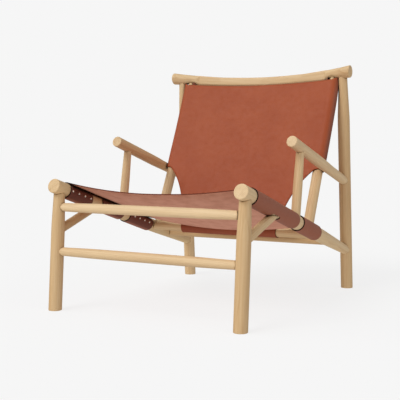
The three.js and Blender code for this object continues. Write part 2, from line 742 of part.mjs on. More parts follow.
function sideBars(side, lines) {
  const length = Object.fromEntries(Object.entries(lines).map(([name, line]) => [name, lengthOf(line)]));
  const name = (piece) => `${piece}_${side.name}`;
  return {
    frontLeg: new Bar(name('front_leg'), lines.frontLeg, [
      [-LEG_RADIUS, LEG_RADIUS],
      [length.frontLeg - RAIL_RADIUS - FRONT_LEG_TAPER, LEG_RADIUS],
      [length.frontLeg - RAIL_RADIUS, FRONT_LEG_TOP_RADIUS],
      [length.frontLeg, FRONT_LEG_TOP_RADIUS],
    ]),
    backLeg: new Bar(name('back_leg'), lines.backLeg, [
      [-LEG_RADIUS, LEG_RADIUS],
      [length.backLeg - CREST_END_RADIUS - BACK_LEG_TAPER, LEG_RADIUS],
      [length.backLeg - CREST_END_RADIUS, BACK_LEG_TOP_RADIUS],
      [length.backLeg, BACK_LEG_TOP_RADIUS],
    ]),
    rail: new Bar(name('seat_rail'), lines.rail, [
      [0, RAIL_RADIUS - EDGE],
      [EDGE, RAIL_RADIUS],
      [length.rail - RAIL_TAPER, RAIL_RADIUS],
      [length.rail - LEG_RADIUS, RAIL_REAR_RADIUS],
      [length.rail, RAIL_REAR_RADIUS],
    ]),
    arm: new Bar(name('arm_rail'), lines.arm, [
      [0, ARM_FRONT_RADIUS - EDGE],
      [EDGE, ARM_FRONT_RADIUS],
      [length.arm / 2, ARM_MIDDLE_RADIUS],
      [length.arm * ARM_WAIST_SHARE, ARM_WAIST_RADIUS],
      [length.arm, ARM_REAR_RADIUS],
    ]),
    armPost: new Bar(name('arm_post'), lines.armPost, [
      [0, ARM_POST_LOW_RADIUS],
      [length.armPost / 2, ARM_POST_LOW_RADIUS],
      [length.armPost, ARM_POST_TOP_RADIUS],
    ]),
    brace: new Bar(name('brace'), lines.brace, [[0, BRACE_RADIUS], [length.brace, BRACE_RADIUS]]),
    backPost: new Bar(name('back_post'), lines.backPost, [
      [0, BACK_POST_LOW_RADIUS],
      [BACK_START, BACK_POST_LOW_RADIUS],
      ...sleeveRows(lines.backPost).slice(1, -1).map((place) => [place, BACK_POST_RADIUS]),
      [length.backPost - BACK_TOP_GAP, BACK_POST_TOP_RADIUS],
      [length.backPost - CREST_POST_RADIUS, BACK_POST_NECK_RADIUS],
      [length.backPost, BACK_POST_NECK_RADIUS],
    ], BACK_POST_BOW),
  };
}

function stretcher(name, line) {
  const length = lengthOf(line);
  return new Bar(name, line, [
    [0, STRETCHER_END_RADIUS],
    [STRETCHER_TAPER, STRETCHER_RADIUS],
    [length - STRETCHER_TAPER, STRETCHER_RADIUS],
    [length, STRETCHER_END_RADIUS],
  ]);
}

function plainBar(name, line, radius) {
  return new Bar(name, line, [[0, radius], [lengthOf(line), radius]]);
}

function crossBars(lines) {
  const onLeg = (height) => crossLine(lines, (side) => pointAtHeight(side.frontLeg, height));
  const onRail = (place) => crossLine(lines, (side) => along(side.rail, place));
  return {
    upper: stretcher('front_stretcher_upper', onLeg(RAIL_FRONT_HEIGHT - UPPER_STRETCHER_DROP)),
    lower: stretcher('front_stretcher_lower', onLeg(LOWER_STRETCHER_HEIGHT)),
    seatBar: plainBar('rear_seat_bar', onRail(SEAT_BAR_PLACE), SEAT_BAR_RADIUS),
    beam: plainBar('rear_beam', onRail(REAR_BEAM_PLACE), REAR_BEAM_RADIUS),
  };
}

// Joints between bars

function joinSide(bars, cross, crest) {
  const [railWay, legWay] = [bars.rail.direction(), bars.backLeg.direction()];
  const crestWay = new THREE.Vector3(1, 0, 0);
  bars.frontLeg.join(bars.rail, 'end', railWay, RAIL_RADIUS);
  bars.armPost.join(bars.rail, 'start', railWay, RAIL_RADIUS);
  bars.armPost.join(bars.arm, 'end', bars.arm.direction(), ARM_FRONT_RADIUS);
  bars.brace.join(bars.frontLeg, 'start', bars.frontLeg.direction(), LEG_RADIUS);
  bars.brace.join(bars.rail, 'end', railWay, RAIL_RADIUS);
  bars.rail.join(bars.backLeg, 'end', legWay, LEG_RADIUS);
  bars.arm.join(bars.backLeg, 'end', legWay, LEG_RADIUS);
  bars.backLeg.join(crest, 'end', crestWay, CREST_END_RADIUS);
  bars.backPost.join(cross.seatBar, 'start', crestWay, SEAT_BAR_RADIUS);
  bars.backPost.join(crest, 'end', crestWay, CREST_POST_RADIUS);
}

function joinCross(cross, left, right) {
  const between = (bar, host, radius) => {
    bar.join(left[host], 'start', left[host].direction(), radius);
    bar.join(right[host], 'end', right[host].direction(), radius);
  };
  between(cross.upper, 'frontLeg', LEG_RADIUS);
  between(cross.lower, 'frontLeg', LEG_RADIUS);
  between(cross.seatBar, 'rail', RAIL_RADIUS);
  between(cross.beam, 'rail', RAIL_RADIUS);
}

// Mortises are cut last, so that no tenon root fills them again
function cutMortises(pieces) {
  for (const piece of pieces) {
    for (const mortise of piece.mortises) piece.body = piece.body.subtract(mortise);
  }
}

function cutFeet(bars) {
  const floorNormal = [0, 0, 1];
  bars.frontLeg.body = bars.frontLeg.body.trimByPlane(floorNormal, 0);
  bars.backLeg.body = bars.backLeg.body.trimByPlane(floorNormal, 0);
}

// Assembly

function addMesh(group, name, body, finish) {
  const mesh = new THREE.Mesh(geometryOf(body), new THREE.MeshStandardMaterial(finish));
  mesh.name = name;
  group.add(mesh);
}

function buildChair() {
  const lines = Object.fromEntries(SIDES.map((side) => [side.name, sideLines(side)]));
  const crest = { body: crestSolid(), grown: () => crestSolid(CLEARANCE), mortises: [] };
  const cross = crossBars(lines);
  const bars = Object.fromEntries(SIDES.map((side) => [side.name, sideBars(side, lines[side.name])]));
  for (const side of SIDES) joinSide(bars[side.name], cross, crest);
  joinCross(cross, bars.left, bars.right);
  cutMortises([crest, ...Object.values(cross), ...Object.values(bars.left), ...Object.values(bars.right)]);
  for (const side of SIDES) cutFeet(bars[side.name]);

  const seat = { body: seatSling(bars.right.rail, lines.right) };
  const back = { body: backSling(bars.right.backPost) };
  const rows = seatRows(bars.right.rail, lines.right);
  const nails = tongueNails(cross.seatBar, back, bars.right.backPost);
  for (const side of SIDES) {
    nails.push(...seatNails(side, bars[side.name].rail, seat, rows));
    nails.push(...backNails(side, bars[side.name].backPost, back));
  }

  const chair = new THREE.Group();
  for (const side of SIDES) {
    for (const bar of Object.values(bars[side.name])) addMesh(chair, bar.name, bar.body, OAK);
  }
  for (const bar of Object.values(cross)) addMesh(chair, bar.name, bar.body, OAK);
  addMesh(chair, 'crest_rail', crest.body, OAK);
  addMesh(chair, 'seat_sling', seat.body, LEATHER_FINISH);
  addMesh(chair, 'back_sling', back.body, LEATHER_FINISH);
  for (const [name, nail] of nails) addMesh(chair, name, nail, BRASS);
  return chair;
}

// Centres the chair over the origin, front to back
function centred(chair) {
  const middle = new THREE.Box3().setFromObject(chair).getCenter(new THREE.Vector3());
  chair.position.y = -middle.y;
  const stand = new THREE.Group();
  stand.add(chair);
  return stand;
}

export default centred(buildChair());
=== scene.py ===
"""A lounge chair of turned oak with a sling seat and a sling back of thick leather.

All lengths are in metres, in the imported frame: X across the chair, +Y to its back, +Z up.
"""

import json
import logging
import math
from abc import ABC, abstractmethod
from dataclasses import dataclass, field
from enum import Enum
from typing import Iterable, Sequence

import bmesh
import bpy
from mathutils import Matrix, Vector, noise
from mathutils.geometry import delaunay_2d_cdt


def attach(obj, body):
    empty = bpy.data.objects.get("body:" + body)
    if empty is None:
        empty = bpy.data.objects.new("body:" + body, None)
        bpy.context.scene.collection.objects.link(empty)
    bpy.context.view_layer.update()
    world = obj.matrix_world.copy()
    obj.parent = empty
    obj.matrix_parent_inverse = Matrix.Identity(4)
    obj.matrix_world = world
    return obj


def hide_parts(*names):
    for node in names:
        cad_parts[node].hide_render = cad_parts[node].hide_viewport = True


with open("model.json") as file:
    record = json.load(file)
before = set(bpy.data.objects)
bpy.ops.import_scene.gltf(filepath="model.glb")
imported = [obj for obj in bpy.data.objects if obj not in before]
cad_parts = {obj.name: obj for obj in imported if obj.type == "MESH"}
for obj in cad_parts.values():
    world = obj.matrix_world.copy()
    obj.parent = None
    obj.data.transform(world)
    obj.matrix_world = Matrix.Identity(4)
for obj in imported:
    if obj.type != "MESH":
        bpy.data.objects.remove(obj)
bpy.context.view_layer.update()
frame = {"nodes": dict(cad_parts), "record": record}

log = logging.getLogger("lounge_chair")

ROOT = "root"
FLOOR = 0.0
X_AXIS, Y_AXIS, Z_AXIS = Vector((1, 0, 0)), Vector((0, 1, 0)), Vector((0, 0, 1))
WHITE = (1.0, 1.0, 1.0)
# The finishes of a sheet's faces, by their order in Finishes.sheet
GRAIN_SIDE, FLESH_SIDE, CUT_EDGE = range(3)
# The angle round a bar at which a sheet lies on top of it
TOP_ANGLE = 1.5 * math.pi
# What makes share * share * (1 - share) reach 1, at two thirds
BOW_PEAK = 27 / 4
# A line whose way has more Y than this runs to the chair's back rather than across or up
STEEP = 0.9
# The kind of result of delaunay_2d_cdt that has the triangles inside the outline
INSIDE_ONLY = 1
# A rounded edge's rings, and the rings on the flat inside it as shares of its radius
EDGE_RINGS = 5
FLAT_SHARES = (0.92, 0.6)
# How far apart along the grain two bars with following seeds were sawn
GRAIN_STEP = 1.37
# How much darker, or where negative paler, a bar is than the rest: partly the wood's own tone and partly painted shade
# and painted light for bars that sit in shade or in light
WOOD_TONES_AND_PAINTED_LIGHT = {
    "front_stretcher_upper_wood": -0.3, "front_stretcher_lower_wood": -0.15, "rear_seat_bar_wood": 0.25,
    "rear_beam_wood": 0.6, "arm_rail_left_wood": 0.05, "arm_rail_right_wood": -0.25, "brace_left_wood": 0.4,
    "back_leg_right_wood": 0.3, "seat_rail_right_wood": -0.2, "front_leg_right_wood": 0.25,
    "front_leg_left_wood": 0.2,
}

Colour = tuple[float, float, float]
Span = tuple[float, ...]
Ring = list[tuple[Vector, float]]
Profile = list[tuple[float, float]]
Triangle = tuple[int, int, int]
Socket = bpy.types.NodeSocket


class Side(Enum):
    """The chair's two sides, by the sign of X."""

    LEFT = -1
    RIGHT = 1

    @property
    def word(self) -> str:
        """The side's word in the names of pieces."""
        return self.name.lower()

    def place(self, point: Vector) -> Vector:
        """A point of the right side, on this side."""
        return Vector((self.value * point.x, point.y, point.z))


class Slot(Enum):
    """The record's material slots."""

    OAK = "oak"
    LEATHER = "leather"
    NAIL = "nail_brass"


# ---- Small helpers

def lerp(low: float, high: float, share: float) -> float:
    """A value between low and high."""
    return low + (high - low) * share


def smooth(share: float) -> float:
    """An eased share, flat at 0 and at 1."""
    share = min(max(share, 0.0), 1.0)
    return share * share * (3 - 2 * share)


def signed_power(value: float, power: float) -> float:
    """A power that keeps the sign."""
    return math.copysign(abs(value) ** power, value)


def linear(red: int, green: int, blue: int) -> Colour:
    """A colour seen on a screen, from 0 to 255, as the linear light that a shader takes."""
    return tuple(((c / 255 + 0.055) / 1.055) ** 2.4 if c > 10 else c / 255 / 12.92 for c in (red, green, blue))


def spread(low: float, high: float, count: int) -> list[float]:
    """Values from low to high, evenly apart."""
    return [lerp(low, high, k / (count - 1)) for k in range(count)]


def edge_steps(rounding: float) -> list[tuple[float, float, float]]:
    """Steps over a rounded edge and onto the flat inside it.

    Args:
        rounding: The edge's radius.

    Returns:
        For each step how far it is inside the long surface, how far inside the end, and its share of the radius.
    """
    turns = [math.pi / 2 * k / EDGE_RINGS for k in range(1, EDGE_RINGS + 1)]
    edge = [(rounding * (1 - math.cos(turn)), rounding * (1 - math.sin(turn)), 1) for turn in turns]
    return edge + [(rounding, 0, share) for share in FLAT_SHARES]


def aim(thing: bpy.types.Object, azimuth: float, height: float) -> None:
    """Turns a camera or a light towards the chair.

    Args:
        thing: The camera or light.
        azimuth: Where it stands, from the chair's front to its right.
        height: The angle over the floor that it stands at.
    """
    level = math.cos(height)
    place = Vector((math.sin(azimuth) * level, -math.cos(azimuth) * level, math.sin(height)))
    thing.rotation_euler = (-place).to_track_quat("-Z", "Y").to_euler()


def add_object(name: str, data: bpy.types.ID) -> bpy.types.Object:
    """A new object in the scene."""
    thing = bpy.data.objects.new(name, data)
    bpy.context.scene.collection.objects.link(thing)
    return thing


@dataclass(frozen=True)
class Axis:
    """The middle line of a round bar, from start to end."""

    start: Vector
    end: Vector
    bow: Vector = Vector()

    @property
    def length(self) -> float:
        """How long the straight line between its ends is."""
        return (self.end - self.start).length

    @property
    def way(self) -> Vector:
        """The unit vector from start to end."""
        return (self.end - self.start).normalized()

    def at(self, distance: float) -> Vector:
        """The point at a distance from the start, moved aside where the bar is bowed, most at two thirds."""
        share = min(max(distance / self.length, 0), 1)
        return self.start + self.way * distance + self.bow * (BOW_PEAK * share * share * (1 - share))

    def at_height(self, height: float) -> Vector:
        """The point at a height over the floor."""
        return self.start.lerp(self.end, (height - self.start.z) / (self.end.z - self.start.z))

    def sides(self) -> tuple[Vector, Vector]:
        """Two unit vectors square to the line and to each other."""
        across = self.way.cross(Y_AXIS if abs(self.way.y) < STEEP else Z_AXIS).normalized()
        return across, self.way.cross(across)

    def on(self, side: Side) -> "Axis":
        """This line of the right side, on the side asked for."""
        return Axis(side.place(self.start), side.place(self.end), side.place(self.bow))


@dataclass
class MeshParts:
    """The vertices and faces of one piece, with the wood's own coordinates or a flat pattern beside them."""

    # A bar's tone is partly its wood's own and partly painted shade and painted light; a sheet's tone deepens the
    # painted shade on its sleeves
    tone: float = 0.0
    points: list[Vector] = field(default_factory=list)
    faces: list[tuple[int, ...]] = field(default_factory=list)
    grain: list[Vector] = field(default_factory=list)
    flat: list[tuple[float, float]] = field(default_factory=list)
    finish_of_face: list[int] = field(default_factory=list)

    def skin_rings(self, rings: int, sides: int) -> None:
        """Joins rings of vertices into a tube."""
        for r in range(rings - 1):
            for k in range(sides):
                a, b = r * sides + k, r * sides + (k + 1) % sides
                self.faces.append((a, b, b + sides, a + sides))

    def close_ring(self, first: int, sides: int, is_first: bool) -> None:
        """Closes a ring with a fan to the last vertex made."""
        middle = len(self.points) - 1
        for k in range(sides):
            a, b = first + k, first + (k + 1) % sides
            self.faces.append((b, a, middle) if is_first else (a, b, middle))

    def build(self, name: str, slot: Slot, nodes: Iterable[str],
              materials: Sequence[bpy.types.Material]) -> bpy.types.Object:
        """Makes the piece, smooth, with its faces outwards, in the place of its CAD nodes.

        Args:
            name: The piece's name.
            slot: Not used.
            nodes: The CAD nodes that it replaces.
            materials: Its finishes, in the order of finish_of_face.

        Returns:
            The new object.
        """
        mesh = bpy.data.meshes.new(name)
        mesh.from_pydata([tuple(p) for p in self.points], [], self.faces)
        if self.grain:
            layer = mesh.attributes.new("grain", "FLOAT_VECTOR", "POINT")
            layer.data.foreach_set("vector", [c for spot in self.grain for c in spot])
        layer = mesh.attributes.new("tone", "FLOAT", "POINT")
        layer.data.foreach_set("value", [self.tone] * len(self.points))
        if self.flat:
            layer = mesh.uv_layers.new(name="flat")
            for loop in mesh.loops:
                layer.data[loop.index].uv = self.flat[loop.vertex_index]
        if self.finish_of_face:
            mesh.polygons.foreach_set("material_index", self.finish_of_face)
        mesh.polygons.foreach_set("use_smooth", [True] * len(mesh.polygons))
        mesh.update()
        mesh.validate()
        work = bmesh.new()
        work.from_mesh(mesh)
        bmesh.ops.recalc_face_normals(work, faces=work.faces)
        work.to_mesh(mesh)
        work.free()
        for material in materials:
            mesh.materials.append(material)
        piece = add_object(name, mesh)
        hand_over(piece, nodes)
        return piece


def hand_over(piece: bpy.types.Object, nodes: Iterable[str]) -> None:
    """Lets a piece ride on the chair and stand for its CAD nodes.

    Args:
        piece: The finished piece.
        nodes: The CAD nodes that it replaces.
    """
    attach(piece, ROOT)
    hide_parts(*nodes)
    log.info("%s: %d faces", piece.name, len(piece.data.polygons))


# ---- Finishes

class Nodes:
    """A node tree, with short ways to add and join its nodes."""

    prefix = ""

    def __init__(self, tree: bpy.types.NodeTree) -> None:
        """Works on a tree, with the nodes that it has."""
        self.tree = tree

    def fill(self, socket: Socket, value: object) -> None:
        """Links a socket to another one, or sets its value."""
        if isinstance(value, Socket):
            self.tree.links.new(value, socket)
        else:
            socket.default_value = (*value, 1) if socket.type == "RGBA" else value

    def add(self, kind: str, inputs: dict | None = None, **settings) -> bpy.types.Node:
        """Adds a node.

        Args:
            kind: The node's type, without the prefix of this class.
            inputs: What goes into its inputs: sockets are linked, other values are set.
            settings: The node's own properties.

        Returns:
            The new node.
        """
        node = self.tree.nodes.new(self.prefix + kind)
        for name, value in settings.items():
            setattr(node, name, value)
        for name, value in (inputs or {}).items():
            self.fill(node.inputs[name], value)
        return node


class Shader(Nodes):
    """A material's nodes round one principled shader."""

    prefix = "ShaderNode"

    def __init__(self, name: str) -> None:
        """Starts a new material with a principled shader and nothing else."""
        self.material = bpy.data.materials.new(name)
        self.material.use_nodes = True
        super().__init__(self.material.node_tree)
        self.tree.nodes.clear()
        self.surface = self.add("BsdfPrincipled")
        self.add("OutputMaterial", {"Surface": self.surface.outputs["BSDF"]})

    def set(self, **values) -> bpy.types.Material:
        """Fills inputs of the principled shader, with _ for each space in their names, and gives the material."""
        for name, value in values.items():
            self.fill(self.surface.inputs[name.replace("_", " ")], value)
        return self.material

    def flat(self) -> Socket:
        """The place on the sheet's flat pattern, in metres."""
        return self.add("UVMap", uv_map="flat").outputs["UV"]

    def tone(self) -> Socket:
        """The piece's tone: for a bar partly its wood's own and partly painted shade and painted light, for a sheet
        how deep the painted shade on its sleeves is.
        """
        return self.add("Attribute", attribute_name="tone").outputs["Fac"]

    def parts(self, vector: Socket) -> bpy.types.bpy_prop_collection:
        """A vector's X, Y and Z."""
        return self.add("SeparateXYZ", {"Vector": vector}).outputs

    def noise(self, vector: Socket, scale: float | Span, detail: float = 3, roughness: float = 0.5,
              distortion: float = 0) -> Socket:
        """Noise from 0 to 1 over a vector, with one scale or a scale for each axis."""
        if isinstance(scale, tuple):
            vector = self.add("VectorMath", {0: vector, 1: scale}, operation="MULTIPLY").outputs["Vector"]
            scale = 1
        node = self.add("TexNoise", {"Vector": vector, "Scale": scale, "Detail": detail, "Roughness": roughness,
                                     "Distortion": distortion})
        return node.outputs["Fac"]

    def span(self, value: Socket, low: float, high: float, to_low: float = 0, to_high: float = 1) -> Socket:
        """Maps low to high onto another span, eased and clamped."""
        node = self.add("MapRange", {"Value": value, "From Min": low, "From Max": high, "To Min": to_low,
                                     "To Max": to_high}, interpolation_type="SMOOTHSTEP")
        return node.outputs["Result"]

    def math(self, operation: str, first: object, second: object = 0.0) -> Socket:
        """The result of one sum."""
        return self.add("Math", {0: first, 1: second}, operation=operation).outputs["Value"]

    def times(self, first: object, second: object) -> Socket:
        """A product."""
        return self.math("MULTIPLY", first, second)

    def mix(self, share: Socket, low: object, high: object) -> Socket:
        """A colour between two others."""
        node = self.add("Mix", data_type="RGBA")
        colours = [s for s in node.inputs if s.type == "RGBA"]
        for socket, value in ((node.inputs["Factor"], share), (colours[0], low), (colours[1], high)):
            self.fill(socket, value)
        return next(s for s in node.outputs if s.type == "RGBA")

    def layers(self, colour: object, *layers: tuple[Socket, object]) -> Socket:
        """A colour with others laid over it in turn, each by its own share."""
        for share, other in layers:
            colour = self.mix(share, colour, other)
        return colour

    def shade_crevices(self, colour: Socket, deep: Colour, reach: float, span: Span = (0.1, 0.75)) -> Socket:
        """Painted shade: a colour that darkens, by ambient occlusion, where pieces meet closely."""
        openness = self.add("AmbientOcclusion", {"Distance": reach}, samples=8).outputs["AO"]
        return self.mix(self.span(openness, *span), deep, colour)

    def bump(self, height: Socket, distance: float, strength: float, under: Socket | None = None) -> Socket:
        """A bump normal, over another one if given."""
        node = self.add("Bump", {"Height": height, "Distance": distance, "Strength": strength})
        if under:
            self.fill(node.inputs["Normal"], under)
        return node.outputs["Normal"]


@dataclass(frozen=True)
class OakFinish:
    """Pale soaped oak, with streaks, growth lines and open pores along the grain."""

    # The colour that bars with a negative tone turn towards: partly paler wood and partly painted light
    pale: Colour = linear(255, 229, 190)
    light: Colour = linear(232, 201, 155)
    base: Colour = linear(222, 187, 138)
    dark: Colour = linear(196, 153, 102)
    pore: Colour = linear(168, 124, 78)
    # Painted shade: the colour that crevices darken to, and how far from a neighbouring piece the darkening reaches
    deep: Colour = linear(98, 62, 34)
    crevice_shade_reach: float = 0.014
    roughness: tuple[float, float] = (0.58, 0.52)
    drift_scale: Span = (14, 14, 3)
    streak_scale: Span = (240, 240, 7)
    broad_scale: Span = (60, 60, 2.2)
    pore_scale: Span = (1500, 1500, 38)
    ring_width: float = 0.0042
    ring_wave: float = 0.02
    ring_rise: Span = (0.45, 0.92)
    ring_fall: Span = (1.0, 0.93)
    ring_share: Span = (0.35, 0.7, 0.15, 0.6)
    light_share: Span = (0.3, 0.72)
    dark_share: Span = (0.42, 0.78, 0, 0.45)
    pore_span: Span = (0.63, 0.74)
    pore_in_ring: Span = (0.0, 1.0, 0.25, 0.8)
    pore_share: float = 0.55
    gloss_span: Span = (0.2, 0.8)
    streak_height: float = 0.4
    depth: float = 0.00012
    strength: float = 0.6

    def make(self) -> bpy.types.Material:
        """Builds the material on the attribute grain, whose Z runs along the wood, and each bar's tone, which is
        partly its wood's own and partly painted shade and painted light.
        """
        shader = Shader("oak_soaped")
        grain = shader.add("Attribute", attribute_name="grain").outputs["Vector"]
        drift = shader.noise(grain, self.drift_scale, detail=2)
        streak = shader.noise(grain, self.streak_scale, detail=5, roughness=0.6)
        broad = shader.noise(grain, self.broad_scale)
        pores = shader.noise(grain, self.pore_scale, detail=2)
        parts = shader.parts(grain)
        squares = [shader.times(parts[axis], parts[axis]) for axis in "XY"]
        radius = shader.math("SQRT", shader.math("ADD", *squares))
        waved = shader.math("ADD", radius, shader.times(drift, self.ring_wave))
        turns = shader.math("FRACT", shader.math("DIVIDE", waved, self.ring_width))
        late = shader.times(shader.span(turns, *self.ring_rise), shader.span(turns, *self.ring_fall))
        pore = shader.times(shader.span(pores, *self.pore_span), shader.span(late, *self.pore_in_ring))
        # Each bar's tone turns it towards dark, or where negative towards pale: partly its wood's own tone and partly
        # painted shade and painted light
        tone = shader.tone()
        colour = shader.layers(
            self.base, (shader.span(streak, *self.light_share), self.light),
            (shader.span(broad, *self.dark_share), self.dark),
            (shader.times(late, shader.span(broad, *self.ring_share)), self.dark),
            (shader.times(pore, self.pore_share), self.pore),
            (tone, self.dark), (shader.times(tone, -1), self.pale))
        height = shader.math("SUBTRACT", shader.times(streak, self.streak_height), pore)
        return shader.set(Base_Color=shader.shade_crevices(colour, self.deep, self.crevice_shade_reach),
                          Roughness=shader.span(streak, *self.gloss_span, *self.roughness),
                          Normal=shader.bump(height, self.depth, self.strength))


@dataclass(frozen=True)
class LeatherFinish:
    """The grain side of thick saddle leather."""

    base: Colour = linear(166, 79, 42)
    light: Colour = linear(173, 86, 48)
    dark: Colour = linear(146, 66, 36)
    # Painted shade and painted sheen on the sleeves, whose leather turns round the bars and away from the light
    turned: Colour = linear(160, 101, 79)
    # Painted shade on the inner flaps under the seat and on the tongue round the seat bar, and on the back's sleeves
    # by its tone
    painted_shade: Colour = linear(92, 41, 30)
    # Painted shade: the colour that crevices darken to, and how far from a neighbouring piece the darkening reaches
    deep: Colour = linear(52, 22, 16)
    crevice_shade_reach: float = 0.022
    cloud_scale: float = 9
    mottle_scale: float = 55
    fine_scale: float = 2400
    ripple_scale: float = 26
    pebble_width: float = 0.0011
    light_share: Span = (0.3, 0.7)
    mottle_share: Span = (0.5, 0.85, 0, 0.25)
    pebble_share: Span = (0.35, 0.8, 0, 0.22)
    sleeve_shade_share: Span = (0.317, 0.333, 0, 0.85)
    sleeve_shade_shift: float = 0.046
    flap_shade_share: Span = (0.398, 0.410, 0, 0.75)
    tongue_shade_share: Span = (0.012, -0.004, 0, 0.3)
    roughness: Span = (0.3, 0.7, 0.55, 0.65)
    specular: float = 0.3
    ripple_depth: float = 0.0012
    ripple_strength: float = 0.35
    fine_height: float = 0.3
    depth: float = 0.00016
    strength: float = 0.5

    def make(self) -> bpy.types.Material:
        """Builds the material on the sheet's flat pattern, with painted shade and painted sheen on the sleeves, and
        painted shade on the inner flaps and the tongue.
        """
        shader = Shader("leather_grain_side")
        flat = shader.flat()
        cloud = shader.noise(flat, self.cloud_scale, detail=4, roughness=0.55)
        mottle = shader.noise(flat, self.mottle_scale, detail=4, roughness=0.6)
        pebble = shader.add("TexVoronoi", {"Vector": flat, "Scale": 1 / self.pebble_width}, feature="F1")
        pebbles = pebble.outputs["Distance"]
        places, tone = shader.parts(flat), shader.tone()
        across = shader.math("ABSOLUTE", places["X"])
        # The sleeves take painted shade and painted sheen; the piece's tone makes it reach further in and deepens it
        # towards the flaps' painted shade
        reach = shader.math("ADD", across, shader.times(tone, self.sleeve_shade_shift))
        colour = shader.layers(
            self.base, (shader.span(cloud, *self.light_share), self.light),
            (shader.span(mottle, *self.mottle_share), self.dark),
            (shader.span(pebbles, *self.pebble_share), self.dark),
            (shader.span(reach, *self.sleeve_shade_share), shader.mix(tone, self.turned, self.painted_shade)),
            # Painted shade on the inner flaps and on the tongue
            (shader.span(across, *self.flap_shade_share), self.painted_shade),
            (shader.span(places["Y"], *self.tongue_shade_share), self.painted_shade))
        under = shader.bump(shader.noise(flat, self.ripple_scale), self.ripple_depth, self.ripple_strength)
        fine = shader.times(shader.noise(flat, self.fine_scale, detail=2), self.fine_height)
        height = shader.math("SUBTRACT", fine, pebbles)
        return shader.set(Base_Color=shader.shade_crevices(colour, self.deep, self.crevice_shade_reach),
                          Roughness=shader.span(mottle, *self.roughness), Specular_IOR_Level=self.specular,
                          Normal=shader.bump(height, self.depth, self.strength, under))


@dataclass(frozen=True)
class FleshFinish:
    """The unfinished underside of the leather, dry and slightly fibrous."""

    base: Colour = linear(224, 162, 137)
    dark: Colour = linear(194, 130, 106)
    # Painted shade: the colour that crevices darken to, and how far from a neighbouring piece the darkening reaches
    deep: Colour = linear(96, 50, 36)
    crevice_shade_reach: float = 0.03
    cloud_scale: float = 22
    fibre_scale: float = 900
    cloud_share: Span = (0.35, 0.75, 0, 0.7)
    fibre_share: Span = (0.5, 0.8, 0, 0.35)
    roughness: float = 0.92
    specular: float = 0.2
    depth: float = 0.0002
    strength: float = 0.5

    def make(self) -> bpy.types.Material:
        """Builds the material on the sheet's flat pattern."""
        shader = Shader("leather_flesh_side")
        flat = shader.flat()
        cloud = shader.noise(flat, self.cloud_scale, detail=5, roughness=0.6)
        fibres = shader.noise(flat, self.fibre_scale, distortion=1.2)
        colour = shader.layers(self.base, (shader.span(cloud, *self.cloud_share), self.dark),
                               (shader.span(fibres, *self.fibre_share), self.dark))
        return shader.set(Base_Color=shader.shade_crevices(colour, self.deep, self.crevice_shade_reach),
                          Roughness=self.roughness, Specular_IOR_Level=self.specular,
                          Normal=shader.bump(fibres, self.depth, self.strength))


@dataclass(frozen=True)
class CutEdgeFinish:
    """The leather's cut edges: nearly black on the sleeves, brown along the panel."""

    base: Colour = linear(30, 14, 11)
    worn: Colour = linear(58, 28, 20)
    panel: Colour = linear(110, 52, 32)
    patch_scale: float = 160
    fine_scale: float = 1500
    worn_share: Span = (0.45, 0.75)
    panel_share: Span = (0.276, 0.268)
    roughness: float = 0.6
    specular: float = 0.15
    depth: float = 0.0001
    strength: float = 0.4

    def make(self) -> bpy.types.Material:
        """Builds the material on the sheet's flat pattern."""
        shader = Shader("leather_cut_edge")
        flat = shader.flat()
        across = shader.math("ABSOLUTE", shader.parts(flat)["X"])
        patches = shader.noise(flat, self.patch_scale)
        colour = shader.layers(self.base, (shader.span(patches, *self.worn_share), self.worn),
                               (shader.span(across, *self.panel_share), self.panel))
        normal = shader.bump(shader.noise(flat, self.fine_scale), self.depth, self.strength)
        return shader.set(Base_Color=colour, Roughness=self.roughness, Specular_IOR_Level=self.specular,
                          Normal=normal)


@dataclass(frozen=True)
class BrassFinish:
    """Brushed pale brass of the nail heads."""

    base: Colour = linear(255, 250, 240)
    dark: Colour = linear(252, 240, 216)
    wear_scale: float = 700
    dark_share: Span = (0.4, 0.75)
    roughness: Span = (0.3, 0.8, 0.2, 0.4)
    metallic: float = 0.85
    depth: float = 0.00005
    strength: float = 0.3

    def make(self) -> bpy.types.Material:
        """Builds the material on object coordinates."""
        shader = Shader("nail_brass_brushed")
        wear = shader.noise(shader.add("TexCoord").outputs["Object"], self.wear_scale)
        return shader.set(Base_Color=shader.mix(shader.span(wear, *self.dark_share), self.base, self.dark),
                          Metallic=self.metallic, Roughness=shader.span(wear, *self.roughness),
                          Normal=shader.bump(wear, self.depth, self.strength))


@dataclass(frozen=True)
class FloorFinish:
    """The studio's plain pale floor, which glows so that shadows on it stay faint."""

    tone: float
    own: float
    light: float
    glow: Colour = WHITE

    def make(self) -> bpy.types.Material:
        """Builds the material: what it reflects and its own glow add up to its tone."""
        return Shader("studio_floor").set(
            Base_Color=(self.own,) * 3, Roughness=1.0, Specular_IOR_Level=0.0, Emission_Color=self.glow,
            Emission_Strength=self.tone - self.own * self.light)


@dataclass(frozen=True)
class Finishes:
    """All materials of the chair, each built once."""

    oak: bpy.types.Material
    sheet: tuple[bpy.types.Material, ...]
    brass: bpy.types.Material

    @classmethod
    def make(cls) -> "Finishes":
        """Builds them: a sheet has a grain side, a flesh side and a cut edge."""
        sheet = tuple(finish().make() for finish in (LeatherFinish, FleshFinish, CutEdgeFinish))
        return cls(OakFinish().make(), sheet, BrassFinish().make())


# ---- The chair's plan

@dataclass(frozen=True)
class CrestStation:
    """One cross section of the crest rail: its place, half height, half depth, squareness and lift."""

    x: float
    high: float
    deep: float
    power: float
    lift: float

    def sizes(self) -> tuple[float, float, float, float]:
        """All that changes from station to station."""
        return self.high, self.deep, self.power, self.lift


